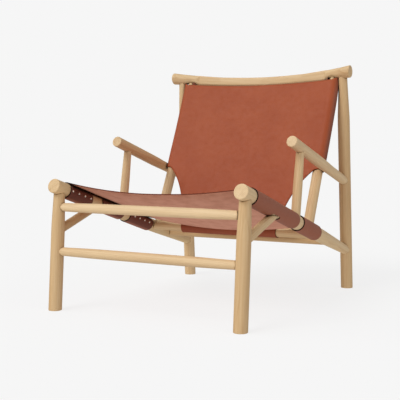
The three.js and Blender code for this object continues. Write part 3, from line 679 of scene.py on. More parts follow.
@dataclass(frozen=True)
class Plan:
    """The places of all bars, measured on one side frame and mirrored to the other."""

    front_foot: Vector
    back_foot: Vector
    leg_radius: float = 0.0204
    rail_radius: float = 0.022
    seat_bar_radius: float = 0.017
    back_post_radius: float = 0.0177
    back_post_low_radius: float = 0.0168
    back_post_low_end: float = 0.220
    back_post_low_taper: float = 0.060
    rail_overhang: float = 0.001
    rail_front_height: float = 0.379
    rail_rear_height: float = 0.133
    leg_setback: float = 0.0295
    arm_front_place: float = 0.332
    arm_front_height: float = 0.5125
    arm_rear_height: float = 0.375
    arm_post_rail_place: float = 0.3805
    arm_post_arm_place: float = 0.070
    brace_drop: float = 0.138
    brace_rail_place: float = 0.242
    upper_stretcher_drop: float = 0.066
    lower_stretcher_height: float = 0.179
    seat_bar_place: float = 0.5645
    rear_beam_place: float = 0.6805
    back_post_inset: float = 0.0358
    crest_overhang: float = 0.0285
    crest_end_place: float = 0.7552
    crest_end_height: float = 0.7476
    crest_bow: float = 0.049
    crest_sag: float = 0.0181
    crest_recline: float = math.radians(12)
    back_post_bow: float = 0.0063
    back_leg_lean: float = 0.0024
    back_post_lean: float = 0.0025
    behind_crest: float = 0.002
    crest_easing: float = 0.7
    crest_stations: tuple[CrestStation, ...] = (
        CrestStation(0.000, 0.0149, 0.0110, 5.0, -0.0004),
        CrestStation(0.157, 0.0154, 0.0110, 5.0, 0.0001),
        CrestStation(0.220, 0.0169, 0.0110, 5.0, 0.0005),
        CrestStation(0.246, 0.0177, 0.0112, 5.0, 0.0005),
        CrestStation(0.257, 0.0176, 0.0153, 2.0, 0.0013),
        CrestStation(0.277, 0.0160, 0.0158, 2.0, 0.0035),
        CrestStation(0.295, 0.0178, 0.0168, 2.0, 0.0024),
        CrestStation(0.347, 0.0208, 0.0208, 2.0, 0.0012),
    )

    @classmethod
    def from_frame(cls) -> "Plan":
        """Takes the feet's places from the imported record."""
        spots = {mount["name"]: Vector(mount["pos_m"]) for mount in frame["record"]["mounts"]}
        return cls(spots["front_foot_right"], spots["back_foot_right"])

    @property
    def crest_half_length(self) -> float:
        """Half the crest rail's length."""
        return self.back_foot.x + self.crest_overhang

    @property
    def back_post_half_span(self) -> float:
        """How far a back post stands from the chair's middle."""
        return self.back_foot.x - self.back_post_inset

    def side_spot(self, place: float, height: float) -> Vector:
        """A point of the right side frame, at a place behind the front foot."""
        share = place / (self.back_foot.y - self.front_foot.y)
        return self.front_foot.lerp(self.back_foot, share) + Z_AXIS * height

    def crest_spot(self, x: float) -> Vector:
        """A point of the crest rail's curved middle line."""
        share = 1 - (x / self.crest_half_length) ** 2
        return Vector((x, self.front_foot.y + self.crest_end_place + self.crest_bow * share,
                       self.crest_end_height - self.crest_sag * share))

    def crest_section(self, x: float) -> CrestStation:
        """The rail's cross section at a place, between the stations on either side."""
        reach = abs(x)
        for low, high in zip(self.crest_stations, self.crest_stations[1:]):
            if reach <= high.x:
                share = (reach - low.x) / (high.x - low.x)
                share = lerp(share, smooth(share), self.crest_easing)
                return CrestStation(reach, *(lerp(a, b, share) for a, b in zip(low.sizes(), high.sizes())))
        return self.crest_stations[-1]

    def crest_rise(self) -> Vector:
        """The unit vector up the crest rail's reclined face."""
        return Vector((0, math.sin(self.crest_recline), math.cos(self.crest_recline)))

    def crest_middle(self, x: float) -> Vector:
        """The middle of the crest rail's cross section at a place."""
        return self.crest_spot(x) + self.crest_rise() * self.crest_section(x).lift

    def crest_way(self, x: float) -> Vector:
        """The unit vector along the crest rail."""
        slope = 2 * x / self.crest_half_length ** 2
        return Vector((1, -self.crest_bow * slope, self.crest_sag * slope)).normalized()

    def back_leg(self) -> Axis:
        """The right back leg's line, up to the crest rail."""
        top = self.crest_middle(self.back_foot.x - self.back_leg_lean)
        return Axis(self.back_foot.copy(), top + Y_AXIS * self.behind_crest)

    def rail(self) -> Axis:
        """The right seat rail's line, falling to the back leg."""
        front = self.side_spot(-self.rail_overhang, self.rail_front_height)
        return Axis(front, self.back_leg().at_height(self.rail_rear_height))

    def front_leg(self) -> Axis:
        """The right front leg's line, up to the rail."""
        return Axis(self.front_foot.copy(), self.rail().at(self.leg_setback))

    def arm(self) -> Axis:
        """The right arm rail's line, falling to the back leg."""
        front = self.side_spot(self.arm_front_place, self.arm_front_height)
        return Axis(front, self.back_leg().at_height(self.arm_rear_height))

    def arm_post(self) -> Axis:
        """The right arm post's line, from the rail up to the arm."""
        return Axis(self.rail().at(self.arm_post_rail_place), self.arm().at(self.arm_post_arm_place))

    def brace(self) -> Axis:
        """The right brace's line, from the front leg up to the rail."""
        start = self.front_leg().at_height(self.rail_front_height - self.brace_drop)
        return Axis(start, self.rail().at(self.brace_rail_place))

    def back_post(self) -> Axis:
        """The right back post's line, from the seat bar up to the crest rail."""
        foot = self.rail().at(self.seat_bar_place)
        foot.x = self.back_post_half_span
        top = self.crest_middle(self.back_post_half_span - self.back_post_lean) + Y_AXIS * self.behind_crest
        way = Axis(foot, top).way
        away_from_sitter = Vector((0, way.z, -way.y)).normalized()
        return Axis(foot, top, away_from_sitter * self.back_post_bow)

    def across(self, spot: Vector) -> Axis:
        """A line across the chair, from left to right, that ends at a point of the right side frame."""
        return Axis(Side.LEFT.place(spot), spot.copy())


# ---- Turned bars

class End(ABC):
    """How one end of a bar is finished."""

    rounding: float = 0.0

    @abstractmethod
    def reach(self, axis: Axis, offset: Vector, inward: float) -> float:
        """Where a line of the bar's surface meets the end.

        Args:
            axis: The bar's axis.
            offset: From the axis to the line, square to the axis.
            inward: How far inside the end to stop.

        Returns:
            The distance from the axis' start.
        """


@dataclass(frozen=True)
class SawnEnd(End):
    """A free end, sawn square, its edge rounded over."""

    place: float
    inward_sign: int
    rounding: float = 0.0025

    def reach(self, axis: Axis, offset: Vector, inward: float) -> float:
        """The sawn end stands at one distance all round."""
        return self.place + self.inward_sign * inward


@dataclass(frozen=True)
class FootEnd(End):
    """A leg's foot, sawn level with the floor, its edge rounded over."""

    rounding: float = 0.0018

    def reach(self, axis: Axis, offset: Vector, inward: float) -> float:
        """The foot ends level with the floor."""
        return (FLOOR + inward - axis.start.z - offset.z) / axis.way.z


@dataclass(frozen=True)
class CopedEnd(End):
    """An end hollowed to fit snugly over a round host bar."""

    host: Axis
    host_radius: float
    is_start: bool
    sink: float = 0.0004

    def reach(self, axis: Axis, offset: Vector, inward: float) -> float:
        """Each line ends on the host's round surface, on the side that faces this bar."""
        along = self.host.way
        gap = axis.start + offset - self.host.start
        flat_gap = gap - along * gap.dot(along)
        flat_way = axis.way - along * axis.way.dot(along)
        a = flat_way.length_squared
        b = flat_gap.dot(flat_way)
        c = flat_gap.length_squared - (self.host_radius - self.sink) ** 2
        root = math.sqrt(max(b * b - a * c, 0))
        return (-b + root) / a + inward if self.is_start else (-b - root) / a - inward


@dataclass
class RoundBar:
    """A bar turned on a lathe.

    Its profile is a list of (distance along the axis, radius), eased where the radius changes its course.
    """

    name: str
    axis: Axis
    profile: Profile
    start: End
    end: End
    seed: int
    sides: int = 56
    step: float = 0.006
    fewest_steps: int = 8
    settling_rounds: int = 3
    easing: float = 0.014
    sawn_turn: float = 2.399
    nearest_pith: float = 0.045
    pith_step: float = 0.012

    def line_radius(self, distance: float) -> float:
        """The radius on the straight lines between the profile's points."""
        if distance <= self.profile[0][0]:
            return self.profile[0][1]
        for (low, low_radius), (high, high_radius) in zip(self.profile, self.profile[1:]):
            if distance <= high:
                return lerp(low_radius, high_radius, (distance - low) / (high - low))
        return self.profile[-1][1]

    def radius(self, distance: float) -> float:
        """The turned radius, which eases from one taper to the next."""
        shifts = (-1, -0.5, 0, 0.5, 1)
        return sum(self.line_radius(distance + shift * self.easing) for shift in shifts) / len(shifts)

    def reach(self, end: End, towards: Vector, inward: float, guess: float) -> float:
        """Where the bar's surface meets an end on one side, settled with the radius there."""
        distance = guess
        for _ in range(self.settling_rounds):
            distance = end.reach(self.axis, towards * self.radius(distance), inward)
        return distance

    def grain_shift(self) -> Vector:
        """Where in the tree the bar was sawn: its own distance and direction from the pith."""
        turn = self.seed * self.sawn_turn
        pith = self.nearest_pith + self.pith_step * (self.seed * 7 % 5)
        return Vector((pith * math.cos(turn), pith * math.sin(turn), self.seed * GRAIN_STEP))

    def mesh_parts(self) -> MeshParts:
        """The bar's skin: its long surface, its rounded edges and its ends.

        Returns:
            The mesh, with the grain's coordinates at each vertex.
        """
        first, second = self.axis.sides()
        length = self.axis.length
        count = max(int(length / self.step), self.fewest_steps)
        shift = self.grain_shift()
        turns = [2 * math.pi * k / self.sides for k in range(self.sides)]
        ways = [first * math.cos(t) + second * math.sin(t) for t in turns]
        lows = [self.reach(self.start, way, self.start.rounding, 0) for way in ways]
        highs = [self.reach(self.end, way, self.end.rounding, length) for way in ways]
        rings = self.edge_rings(self.start, ways, 0)[::-1]
        for j in range(count + 1):
            distances = [lerp(low, high, j / count) for low, high in zip(lows, highs)]
            rings.append([(way * self.radius(d), d) for way, d in zip(ways, distances)])
        rings += self.edge_rings(self.end, ways, length)
        parts = MeshParts(tone=WOOD_TONES_AND_PAINTED_LIGHT.get(self.name, 0.0))
        for ring in rings:
            for offset, distance in ring:
                parts.points.append(self.axis.at(distance) + offset)
                parts.grain.append(Vector((offset.dot(first), offset.dot(second), distance)) + shift)
        parts.skin_rings(len(rings), self.sides)
        for ring, end, is_first in ((0, self.start, True), (len(rings) - 1, self.end, False)):
            middle = end.reach(self.axis, Vector(), 0)
            parts.points.append(self.axis.at(middle))
            parts.grain.append(Vector((0, 0, middle)) + shift)
            parts.close_ring(ring * self.sides, self.sides, is_first)
        return parts

    def edge_rings(self, end: End, ways: list[Vector], guess: float) -> list[Ring]:
        """Rings over the rounded edge and onto the flat of an end, from the outside in."""
        if not end.rounding:
            return []
        rings = []
        for inset, inward, share in edge_steps(end.rounding):
            offsets = [way * (self.radius(guess) - inset) * share for way in ways]
            rings.append([(offset, end.reach(self.axis, offset, inward)) for offset in offsets])
        return rings

    def build(self, finishes: Finishes) -> None:
        """Makes the bar in oak, in the place of its CAD node."""
        self.mesh_parts().build(self.name, Slot.OAK, [self.name.removesuffix("_wood")], [finishes.oak])


class BarGroup(ABC):
    """Turned bars that belong together."""

    @abstractmethod
    def bars(self) -> list[RoundBar]:
        """The group's bars."""

    def build(self, finishes: Finishes) -> None:
        """Makes the bars."""
        for bar in self.bars():
            bar.build(finishes)


@dataclass
class SideFrame(BarGroup):
    """One side of the chair: legs, seat rail, arm rail, arm post, brace and back post."""

    plan: Plan
    side: Side
    seeds_between_sides: int = 20
    front_leg_top_radius: float = 0.017
    front_leg_taper: float = 0.095
    back_leg_top_radius: float = 0.0145
    back_leg_taper: float = 0.135
    rail_rear_radius: float = 0.016
    rail_taper: float = 0.260
    arm_front_radius: float = 0.0174
    arm_middle_radius: float = 0.0178
    arm_waist_radius: float = 0.0158
    arm_waist_share: float = 0.67
    arm_rear_radius: float = 0.0150
    arm_post_low_radius: float = 0.0144
    arm_post_top_radius: float = 0.0122
    brace_radius: float = 0.0135
    back_post_top_radius: float = 0.0160
    back_post_top_taper: float = 0.090
    crest_end_radius: float = 0.0205
    crest_neck_radius: float = 0.0155
    back_post_tenon_radius: float = 0.0062
    back_post_tenon: float = 0.015
    crest_sink: float = 0.001

    def bars(self) -> list[RoundBar]:
        """All seven bars, each coped to the bar that it meets."""
        plan = self.plan
        front_leg, back_leg, rail, arm, arm_post, brace, back_post = (line.on(self.side) for line in (
            plan.front_leg(), plan.back_leg(), plan.rail(), plan.arm(), plan.arm_post(), plan.brace(),
            plan.back_post()))
        seat_bar = plan.across(plan.rail().at(plan.seat_bar_place))
        on_rail = CopedEnd(rail, plan.rail_radius, False)
        on_back_leg = CopedEnd(back_leg, plan.leg_radius, False)
        front_leg_top = front_leg.length - plan.rail_radius
        back_leg_top = back_leg.length - self.crest_end_radius
        post_top = back_post.length - self.crest_neck_radius
        turned = (
            ("front_leg", front_leg, FootEnd(), on_rail,
             [(0, plan.leg_radius), (front_leg_top - self.front_leg_taper, plan.leg_radius),
              (front_leg_top, self.front_leg_top_radius)]),
            ("back_leg", back_leg, FootEnd(), self.on_crest(plan.back_foot.x),
             [(0, plan.leg_radius), (back_leg_top - self.back_leg_taper, plan.leg_radius),
              (back_leg_top, self.back_leg_top_radius)]),
            ("seat_rail", rail, SawnEnd(0, 1), on_back_leg,
             [(0, plan.rail_radius), (rail.length - self.rail_taper, plan.rail_radius),
              (rail.length - plan.leg_radius, self.rail_rear_radius)]),
            ("arm_rail", arm, SawnEnd(0, 1), on_back_leg,
             [(0, self.arm_front_radius), (arm.length / 2, self.arm_middle_radius),
              (arm.length * self.arm_waist_share, self.arm_waist_radius), (arm.length, self.arm_rear_radius)]),
            ("arm_post", arm_post, CopedEnd(rail, plan.rail_radius, True), CopedEnd(arm, self.arm_front_radius, False),
             [(0, self.arm_post_low_radius), (arm_post.length / 2, self.arm_post_low_radius),
              (arm_post.length, self.arm_post_top_radius)]),
            ("brace", brace, CopedEnd(front_leg, plan.leg_radius, True), on_rail,
             [(0, self.brace_radius)]),
            ("back_post", back_post, CopedEnd(seat_bar, plan.seat_bar_radius, True),
             self.on_crest(plan.back_post_half_span),
             [(plan.back_post_low_end, plan.back_post_low_radius),
              (plan.back_post_low_end + plan.back_post_low_taper, plan.back_post_radius),
              (back_post.length - self.back_post_top_taper, plan.back_post_radius),
              (post_top - self.back_post_tenon, self.back_post_top_radius),
              (post_top, self.back_post_tenon_radius)]),
        )
        first_seed = self.seeds_between_sides + 1 if self.side is Side.LEFT else 1
        return [RoundBar(f"{word}_{self.side.word}_wood", axis, profile, start, end, seed)
                for seed, (word, axis, start, end, profile) in enumerate(turned, first_seed)]

    def on_crest(self, x: float) -> CopedEnd:
        """The end of a bar that comes up to the crest rail from below."""
        spot, way = self.plan.crest_middle(self.side.value * x), self.plan.crest_way(self.side.value * x)
        return CopedEnd(Axis(spot, spot + way), self.plan.crest_section(x).high, False, self.crest_sink)


@dataclass
class CrossBars(BarGroup):
    """The bars across the chair: two front stretchers, the seat bar and the rear beam."""

    plan: Plan
    stretcher_radius: float = 0.0145
    stretcher_end_radius: float = 0.0126
    stretcher_taper: float = 0.130
    rear_beam_radius: float = 0.0145
    rail_radius_at_beam: float = 0.0203
    first_seed: int = 41

    def stretcher(self, width: float) -> Profile:
        """A front stretcher's profile, thinner at both ends."""
        return [(0, self.stretcher_end_radius), (self.stretcher_taper, self.stretcher_radius),
                (width - self.stretcher_taper, self.stretcher_radius), (width, self.stretcher_end_radius)]

    def bars(self) -> list[RoundBar]:
        """The four bars, each coped to the legs or rails on both sides."""
        plan = self.plan
        leg, rail = plan.front_leg(), plan.rail()
        upper = leg.at_height(plan.rail_front_height - plan.upper_stretcher_drop)
        lower = leg.at_height(plan.lower_stretcher_height)
        seat_bar, beam = rail.at(plan.seat_bar_place), rail.at(plan.rear_beam_place)
        turned = (
            ("front_stretcher_upper", upper, leg, plan.leg_radius, self.stretcher(2 * upper.x)),
            ("front_stretcher_lower", lower, leg, plan.leg_radius, self.stretcher(2 * lower.x)),
            ("rear_seat_bar", seat_bar, rail, plan.rail_radius, [(0, plan.seat_bar_radius)]),
            ("rear_beam", beam, rail, self.rail_radius_at_beam, [(0, self.rear_beam_radius)]),
        )
        return [RoundBar(f"{word}_wood", plan.across(spot), profile, CopedEnd(host.on(Side.LEFT), radius, True),
                         CopedEnd(host, radius, False), seed)
                for seed, (word, spot, host, radius, profile) in enumerate(turned, self.first_seed)]


@dataclass
class CrestRail:
    """The curved top rail: round ends and necks, and between them a flatter blade."""

    plan: Plan
    rounding: float = 0.0025
    sides: int = 72
    step: float = 0.006
    shoulder_step: float = 0.0012
    seed: int = 51
    sawn_at: tuple[float, float] = (0.004, 0.062)

    def ring_places(self) -> list[float]:
        """Where rings stand along X, closer together on the shoulders."""
        half = [0.0]
        low, high = self.plan.crest_stations[2].x, self.plan.crest_stations[-2].x
        limit = self.plan.crest_half_length - self.rounding
        while half[-1] < limit:
            step = self.shoulder_step if low < half[-1] < high else self.step
            half.append(min(half[-1] + step, limit))
        return [-x for x in reversed(half[1:])] + half

    def ring(self, x: float, inset: float = 0, share: float = 1) -> list[tuple[Vector, Vector]]:
        """Points round the rail at one place, with their grain coordinates."""
        section = self.plan.crest_section(x)
        rise = self.plan.crest_rise()
        depth = Vector((0, -rise.z, rise.y)) / self.plan.crest_way(x).x
        middle = self.plan.crest_middle(x)
        shift = Vector((*self.sawn_at, self.seed * GRAIN_STEP))
        ring = []
        for k in range(self.sides):
            turn = 2 * math.pi * k / self.sides
            up = signed_power(math.cos(turn), 2 / section.power) * (section.high - inset) * share
            out = signed_power(math.sin(turn), 2 / section.power) * (section.deep - inset) * share
            ring.append((middle + rise * up + depth * out, Vector((up, out, x)) + shift))
        return ring

    def mesh_parts(self) -> MeshParts:
        """The rail's skin, with its two flat ends."""
        end = self.plan.crest_half_length
        caps = [(end - inward, inset, share) for inset, inward, share in edge_steps(self.rounding)]
        rings = [self.ring(-x, inset, share) for x, inset, share in reversed(caps)]
        rings += [self.ring(x) for x in self.ring_places()]
        rings += [self.ring(x, inset, share) for x, inset, share in caps]
        parts = MeshParts()
        for ring in rings:
            parts.points += [point for point, _ in ring]
            parts.grain += [grain for _, grain in ring]
        parts.skin_rings(len(rings), self.sides)
        for index, is_first in ((0, True), (len(rings) - 1, False)):
            parts.points.append(sum((p for p, _ in rings[index]), Vector()) / self.sides)
            parts.grain.append(sum((g for _, g in rings[index]), Vector()) / self.sides)
            parts.close_ring(index * self.sides, self.sides, is_first)
        return parts

    def build(self, finishes: Finishes) -> None:
        """Makes the crest rail."""
        self.mesh_parts().build("crest_rail_wood", Slot.OAK, ["crest_rail"], [finishes.oak])


# ---- Leather slings

@dataclass(frozen=True)
class Nail:
    """A nail's place on the leather and the way that its head faces."""

    base: Vector
    outward: Vector


@dataclass(frozen=True)
class Corner:
    """A corner of a flat pattern, and the radius that it is rounded to."""

    across: float
    along: float
    radius: float = 0.0

    @property
    def place(self) -> Vector:
        """Where it is on the pattern."""
        return Vector((self.across, self.along))


def rounded_outline(corners: list[Corner], step: float, arc_step: float = 0.0012,
                    fewest_arc_steps: int = 3) -> list[Vector]:
    """Walks round a pattern with rounded corners.

    Args:
        corners: The corners in order.
        step: How far apart points stand on straight edges.
        arc_step: How far apart they stand on rounded corners.
        fewest_arc_steps: How many steps a rounded corner has at least.

    Returns:
        The outline's points, each once.
    """
    points: list[Vector] = []
    for k, corner in enumerate(corners):
        following, beyond = (corners[(k + ahead) % len(corners)] for ahead in (1, 2))
        here, after = corner.place, following.place
        back, forth = (corners[k - 1].place - here).normalized(), (after - here).normalized()
        if corner.radius:
            half_turn = back.angle(forth) / 2
            cut = corner.radius / math.tan(half_turn)
            middle = here + (back + forth).normalized() * (corner.radius / math.sin(half_turn))
            low, high = here + back * cut - middle, here + forth * cut - middle
            arc_steps = max(fewest_arc_steps, int(low.angle(high) * corner.radius / arc_step))
            points += [middle + low.slerp(high, j / arc_steps).normalized() * corner.radius
                       for j in range(arc_steps + 1)]
        else:
            points.append(here)
        next_cut = 0.0
        if following.radius:
            next_cut = following.radius / math.tan((here - after).angle(beyond.place - after) / 2)
        target = after + (here - after).normalized() * next_cut
        start = points[-1].copy()
        pieces = int((target - start).length / step)
        points += [start.lerp(target, j / pieces) for j in range(1, pieces)]
    return points


@dataclass
class Sling(ABC):
    """A sheet of leather hung between two parallel bars, with a sleeve nailed round each.

    The flat pattern has two coordinates: across, from the sheet's middle, and along, on the bars. An angle
    round a bar falls from TOP_ANGLE over the bar's outer side and below it to its inner side, at 0. The panel
    sags differently at its low and its high edge, and its width is cut for a sag between the two.
    """

    plan: Plan
    half_span: float
    bar_radius: float
    name: str
    node: str
    sags: tuple[float, float]
    cut_share: float = 0.0
    # How much deeper the painted shade on the sleeves is, and how much further in it reaches
    tone: float = 0.0
    thickness: float = 0.003
    fit: float = 0.0006
    flap: float = math.radians(31)
    edge_step: float = 0.004
    panel_step: float = 0.0075
    sleeve_step: float = 0.003
    edge_margin: float = 0.35
    rim_bulge: float = 0.14
    rim_steps: tuple[tuple[float, float], ...] = ((0.2, 0.85), (0.5, 1.0), (0.8, 0.85))
    ripple_size: float = 0.16
    ripple_depth: float = 0.0012
    ripple_seed: float = 3.0

    @abstractmethod
    def corners(self) -> list[Corner]:
        """The flat pattern's right half, from the middle of its low edge to the middle of its high edge."""

    @abstractmethod
    def spot(self, across: float, along: float, height: float) -> Vector:
        """A point of the hung sheet at a height over its inner face."""

    @abstractmethod
    def rests_on(self) -> list[str]:
        """The pieces that the sheet hangs from."""

    @property
    def panel_half(self) -> float:
        """Half the panel's width on the flat pattern, with its sag."""
        cut_sag = lerp(*self.sags, self.cut_share)
        return (self.half_span - (self.bar_radius + self.fit) * self.mean_slope()
                + 2 / 3 * cut_sag ** 2 / self.half_span)

    def mean_slope(self) -> float:
        """The slope at which the panel leaves its bars."""
        return math.atan(sum(self.sags) / self.half_span)

    def sleeve_length(self, angle: float) -> float:
        """How far round a bar the leather goes from the panel to an angle."""
        return (TOP_ANGLE + self.mean_slope() - angle) * (self.bar_radius + self.fit + self.thickness / 2)

    def radius_at(self, along: float) -> float:
        """A bar's radius inside its sleeve."""
        return self.bar_radius

    def section(self, across: float, half_span: float, radius: float,
                sag: float) -> tuple[float, float, float, float]:
        """One cross section of the hung sheet, on its right or left half.

        Args:
            across: The place on the flat pattern.
            half_span: From the middle of the chair to the bar's axis.
            radius: The bar's radius.
            sag: How far the panel dips.

        Returns:
            The place in X and rise, and the normal in X and rise.
        """
        sign = math.copysign(1, across)
        inner = radius + self.fit
        slope = math.atan(2 * sag / half_span)
        reach = abs(across)
        if reach > self.panel_half:
            angle = TOP_ANGLE + slope - (reach - self.panel_half) / (inner + self.thickness / 2)
            out, up = -math.cos(angle), -math.sin(angle)
            return sign * (half_span + inner * out), inner * up, sign * out, up
        share = reach / self.panel_half
        panel_reach = half_span - inner * math.sin(slope)
        dip = panel_reach * math.tan(slope) / 2 * (1 - share ** 2)
        tilt = math.atan(math.tan(slope) * share)
        return (sign * share * panel_reach, inner * math.cos(slope) - dip, -sign * math.sin(tilt),
                math.cos(tilt))

    def ripple(self, across: float, along: float) -> float:
        """A gentle unevenness of the panel, which fades out towards the sleeves."""
        spot = Vector((across / self.ripple_size, along / self.ripple_size, self.ripple_seed))
        return self.ripple_depth * noise.noise(spot) * smooth(1 - abs(across) / self.panel_half)

    def outline(self) -> list[Vector]:
        """The whole flat pattern's outline."""
        right = self.corners()
        left = [Corner(-c.across, c.along, c.radius) for c in reversed(right)]
        return rounded_outline(right + left, self.edge_step)

    def mesh_parts(self) -> MeshParts:
        """Hangs the flat pattern: a grain side, a flesh side and rounded cut edges.

        Returns:
            The closed mesh.
        """
        flat, triangles = fill_outline(self.outline(), self.grid_lines(), self.panel_step * self.edge_margin)
        parts = MeshParts(tone=self.tone)
        for height in (self.thickness, 0.0):
            parts.points += [self.spot(p.x, p.y, height) for p in flat]
            parts.flat += [(p.x, p.y) for p in flat]
        count = len(flat)
        for a, b, c in triangles:
            parts.faces += [(a, b, c), (count + a, count + c, count + b)]
            parts.finish_of_face += [GRAIN_SIDE, FLESH_SIDE]
        for loop in border_loops(triangles):
            self.add_rim(parts, flat, loop)
        return parts

    def add_rim(self, parts: MeshParts, flat: list[Vector], loop: list[int]) -> None:
        """Closes the sheet along one border loop with a slightly rounded edge."""
        size = len(loop)
        rings = [[len(flat) + k for k in loop]]
        for height_share, out_share in self.rim_steps:
            first = len(parts.points)
            for j, k in enumerate(loop):
                way = (flat[loop[(j + 1) % size]] - flat[loop[j - 1]]).normalized()
                place = flat[k] + Vector((way.y, -way.x)) * (self.thickness * self.rim_bulge) * out_share
                parts.points.append(self.spot(place.x, place.y, self.thickness * height_share))
                parts.flat.append((place.x, place.y))
            rings.append(list(range(first, first + size)))
        rings.append(loop)
        for low, high in zip(rings, rings[1:]):
            for j in range(size):
                following = (j + 1) % size
                parts.faces.append((low[j], low[following], high[following], high[j]))
                parts.finish_of_face.append(CUT_EDGE)

    def grid_lines(self) -> tuple[list[float], list[float]]:
        """Places of the inner grid on the pattern: across, close on the sleeves, and along."""
        corners = self.corners()
        widest = max(c.across for c in corners)
        low, high = min(c.along for c in corners), max(c.along for c in corners)
        panel_cells = int(self.panel_half / self.panel_step)
        across = [self.panel_half * k / panel_cells for k in range(panel_cells + 1)]
        sleeve_cells = int((widest - self.panel_half) / self.sleeve_step)
        across += [lerp(self.panel_half, widest, k / sleeve_cells) for k in range(1, sleeve_cells)]
        rows = int((high - low) / self.panel_step)
        return [-a for a in reversed(across[1:])] + across, [lerp(low, high, k / rows) for k in range(1, rows)]

    def flat_size(self) -> tuple[float, float, float]:
        """The flat pattern's width, length and area."""
        outline = self.outline()
        area = sum(a.x * b.y - b.x * a.y for a, b in zip(outline, outline[1:] + outline[:1])) / 2
        widths, lengths = [p.x for p in outline], [p.y for p in outline]
        return max(widths) - min(widths), max(lengths) - min(lengths), abs(area)

    def nail(self, on_axis: Vector, outward: Vector, radius: float) -> Nail:
        """A nail through the leather round a bar, over a point of the bar's axis."""
        return Nail(on_axis + outward * (radius + self.fit + self.thickness), outward)

    def nails_along(self, line: Axis, places: list[float]) -> list[Nail]:
        """Nails on the inner side of both bars, at places along them."""
        return [self.nail(side.place(line.at(along)), X_AXIS * -side.value, self.radius_at(along))
                for side in Side for along in places]

    def build(self, finishes: Finishes) -> None:
        piece = self.mesh_parts().build(self.name, Slot.LEATHER, [self.node], finishes.sheet)
        width, length, area = self.flat_size()
        self.rests_on()
        log.info("%s: cut %.3f by %.3f m, %.4f m2", self.name, width, length, area)


def fill_outline(outline: list[Vector], lines: tuple[list[float], list[float]], margin: float,
                 closest: float = 1e-7) -> tuple[list[Vector], list[Triangle]]:
    """Fills a closed outline with triangles.

    Args:
        outline: The outline's points in order.
        lines: The inner grid's places across and along.
        margin: How far the inner points stay from the outline.
        closest: How close points become one.

    Returns:
        The points and the triangles, which turn to the left.
    """
    inner = []
    size = len(outline)
    for y in lines[1]:
        crossings = sorted(a.x + (y - a.y) / (b.y - a.y) * (b.x - a.x)
                           for a, b in zip(outline, outline[1:] + outline[:1]) if (a.y > y) != (b.y > y))
        near = [p for p in outline if abs(p.y - y) < margin]
        for low, high in zip(crossings[::2], crossings[1::2]):
            for x in lines[0]:
                if low + margin < x < high - margin and all(abs(p.x - x) > margin for p in near):
                    inner.append(Vector((x, y)))
    edges = [(k, (k + 1) % size) for k in range(size)]
    points, _, faces, *_ = delaunay_2d_cdt(outline + inner, edges, [], INSIDE_ONLY, closest)
    triangles = []
    for a, b, c in faces:
        turn = (points[b] - points[a]).cross(points[c] - points[a])
        triangles.append((a, b, c) if turn > 0 else (a, c, b))
    return list(points), triangles


def border_loops(triangles: list[Triangle]) -> list[list[int]]:
    """The loops of edges that have a triangle on one side only."""
    edges = {edge for a, b, c in triangles for edge in ((a, b), (b, c), (c, a))}
    following = {a: b for a, b in edges if (b, a) not in edges}
    loops = []
    while following:
        start, here = next(iter(following.items()))
        loop = [start]
        del following[start]
        while here != start:
            loop.append(here)
            here = following.pop(here)
        loops.append(loop)
    return loops


@dataclass
class SeatSling(Sling):
    """The seat: a sheet between the two seat rails, with tabs on either side of brace and arm post."""

    name: str = "seat_sling_leather"
    node: str = "seat_sling"
    sags: tuple[float, float] = (0.028, 0.029)
    start: float = 0.057
    notch_start: float = 0.1817
    notch_end: float = 0.2383
    tab_shift: float = 0.012
    slot_start: float = 0.358
    slot_end: float = 0.396
    rear: float = 0.5405
    notch_angle: float = math.radians(133)
    slot_reach: float = 0.0189
    corner_radius: float = 0.005
    notch_radius: float = 0.009
    slot_radius: float = 0.014
    nail_spacing: float = 0.0316
    nails_to_tab: int = 4

    @classmethod
    def on(cls, plan: Plan) -> "SeatSling":
        """The seat over the plan's two rails."""
        return cls(plan, plan.front_foot.x, plan.rail_radius)

    def corners(self) -> list[Corner]:
        """Half the seat's pattern."""
        widest = self.panel_half + self.sleeve_length(-self.flap)
        notch = self.panel_half + self.sleeve_length(self.notch_angle)
        slot = self.panel_half - self.slot_reach + (self.bar_radius + self.fit) * self.mean_slope()
        tab, deep, narrow = self.corner_radius, self.notch_radius, self.slot_radius
        return [
            Corner(widest, self.start, tab), Corner(widest, self.notch_start - self.tab_shift, tab),
            Corner(notch, self.notch_start, deep), Corner(notch, self.notch_end, deep),
            Corner(widest, self.notch_end - self.tab_shift, tab), Corner(widest, self.slot_start, tab),
            Corner(slot, self.slot_start, narrow), Corner(slot, self.slot_end, narrow),
            Corner(widest, self.slot_end, tab), Corner(widest, self.rear, tab),
        ]

    def spot(self, across: float, along: float, height: float) -> Vector:
        """A point of the hung seat."""
        rail = self.plan.rail()
        centre = rail.at(along)
        rise = Vector((0, -rail.way.z, rail.way.y)).normalized()
        sag = lerp(*self.sags, (along - self.start) / (self.rear - self.start))
        x, up, normal_x, normal_up = self.section(across, centre.x, self.bar_radius, sag)
        up += self.ripple(across, along)
        return Vector((x + normal_x * height, centre.y, centre.z)) + rise * (up + normal_up * height)

    def rests_on(self) -> list[str]:
        """The seat hangs from its two rails."""
        return [f"seat_rail_{side.word}_wood" for side in Side]

    def nails(self) -> list[Nail]:
        """Nails along the inner side of both rails, the same number to each tab."""
        tabs = ((self.start, self.notch_start - self.tab_shift), (self.notch_end, self.slot_start),
                (self.slot_end, self.rear))
        shifts = [(k - (self.nails_to_tab - 1) / 2) * self.nail_spacing for k in range(self.nails_to_tab)]
        return self.nails_along(self.plan.rail(), [(low + high) / 2 + shift for low, high in tabs for shift in shifts])


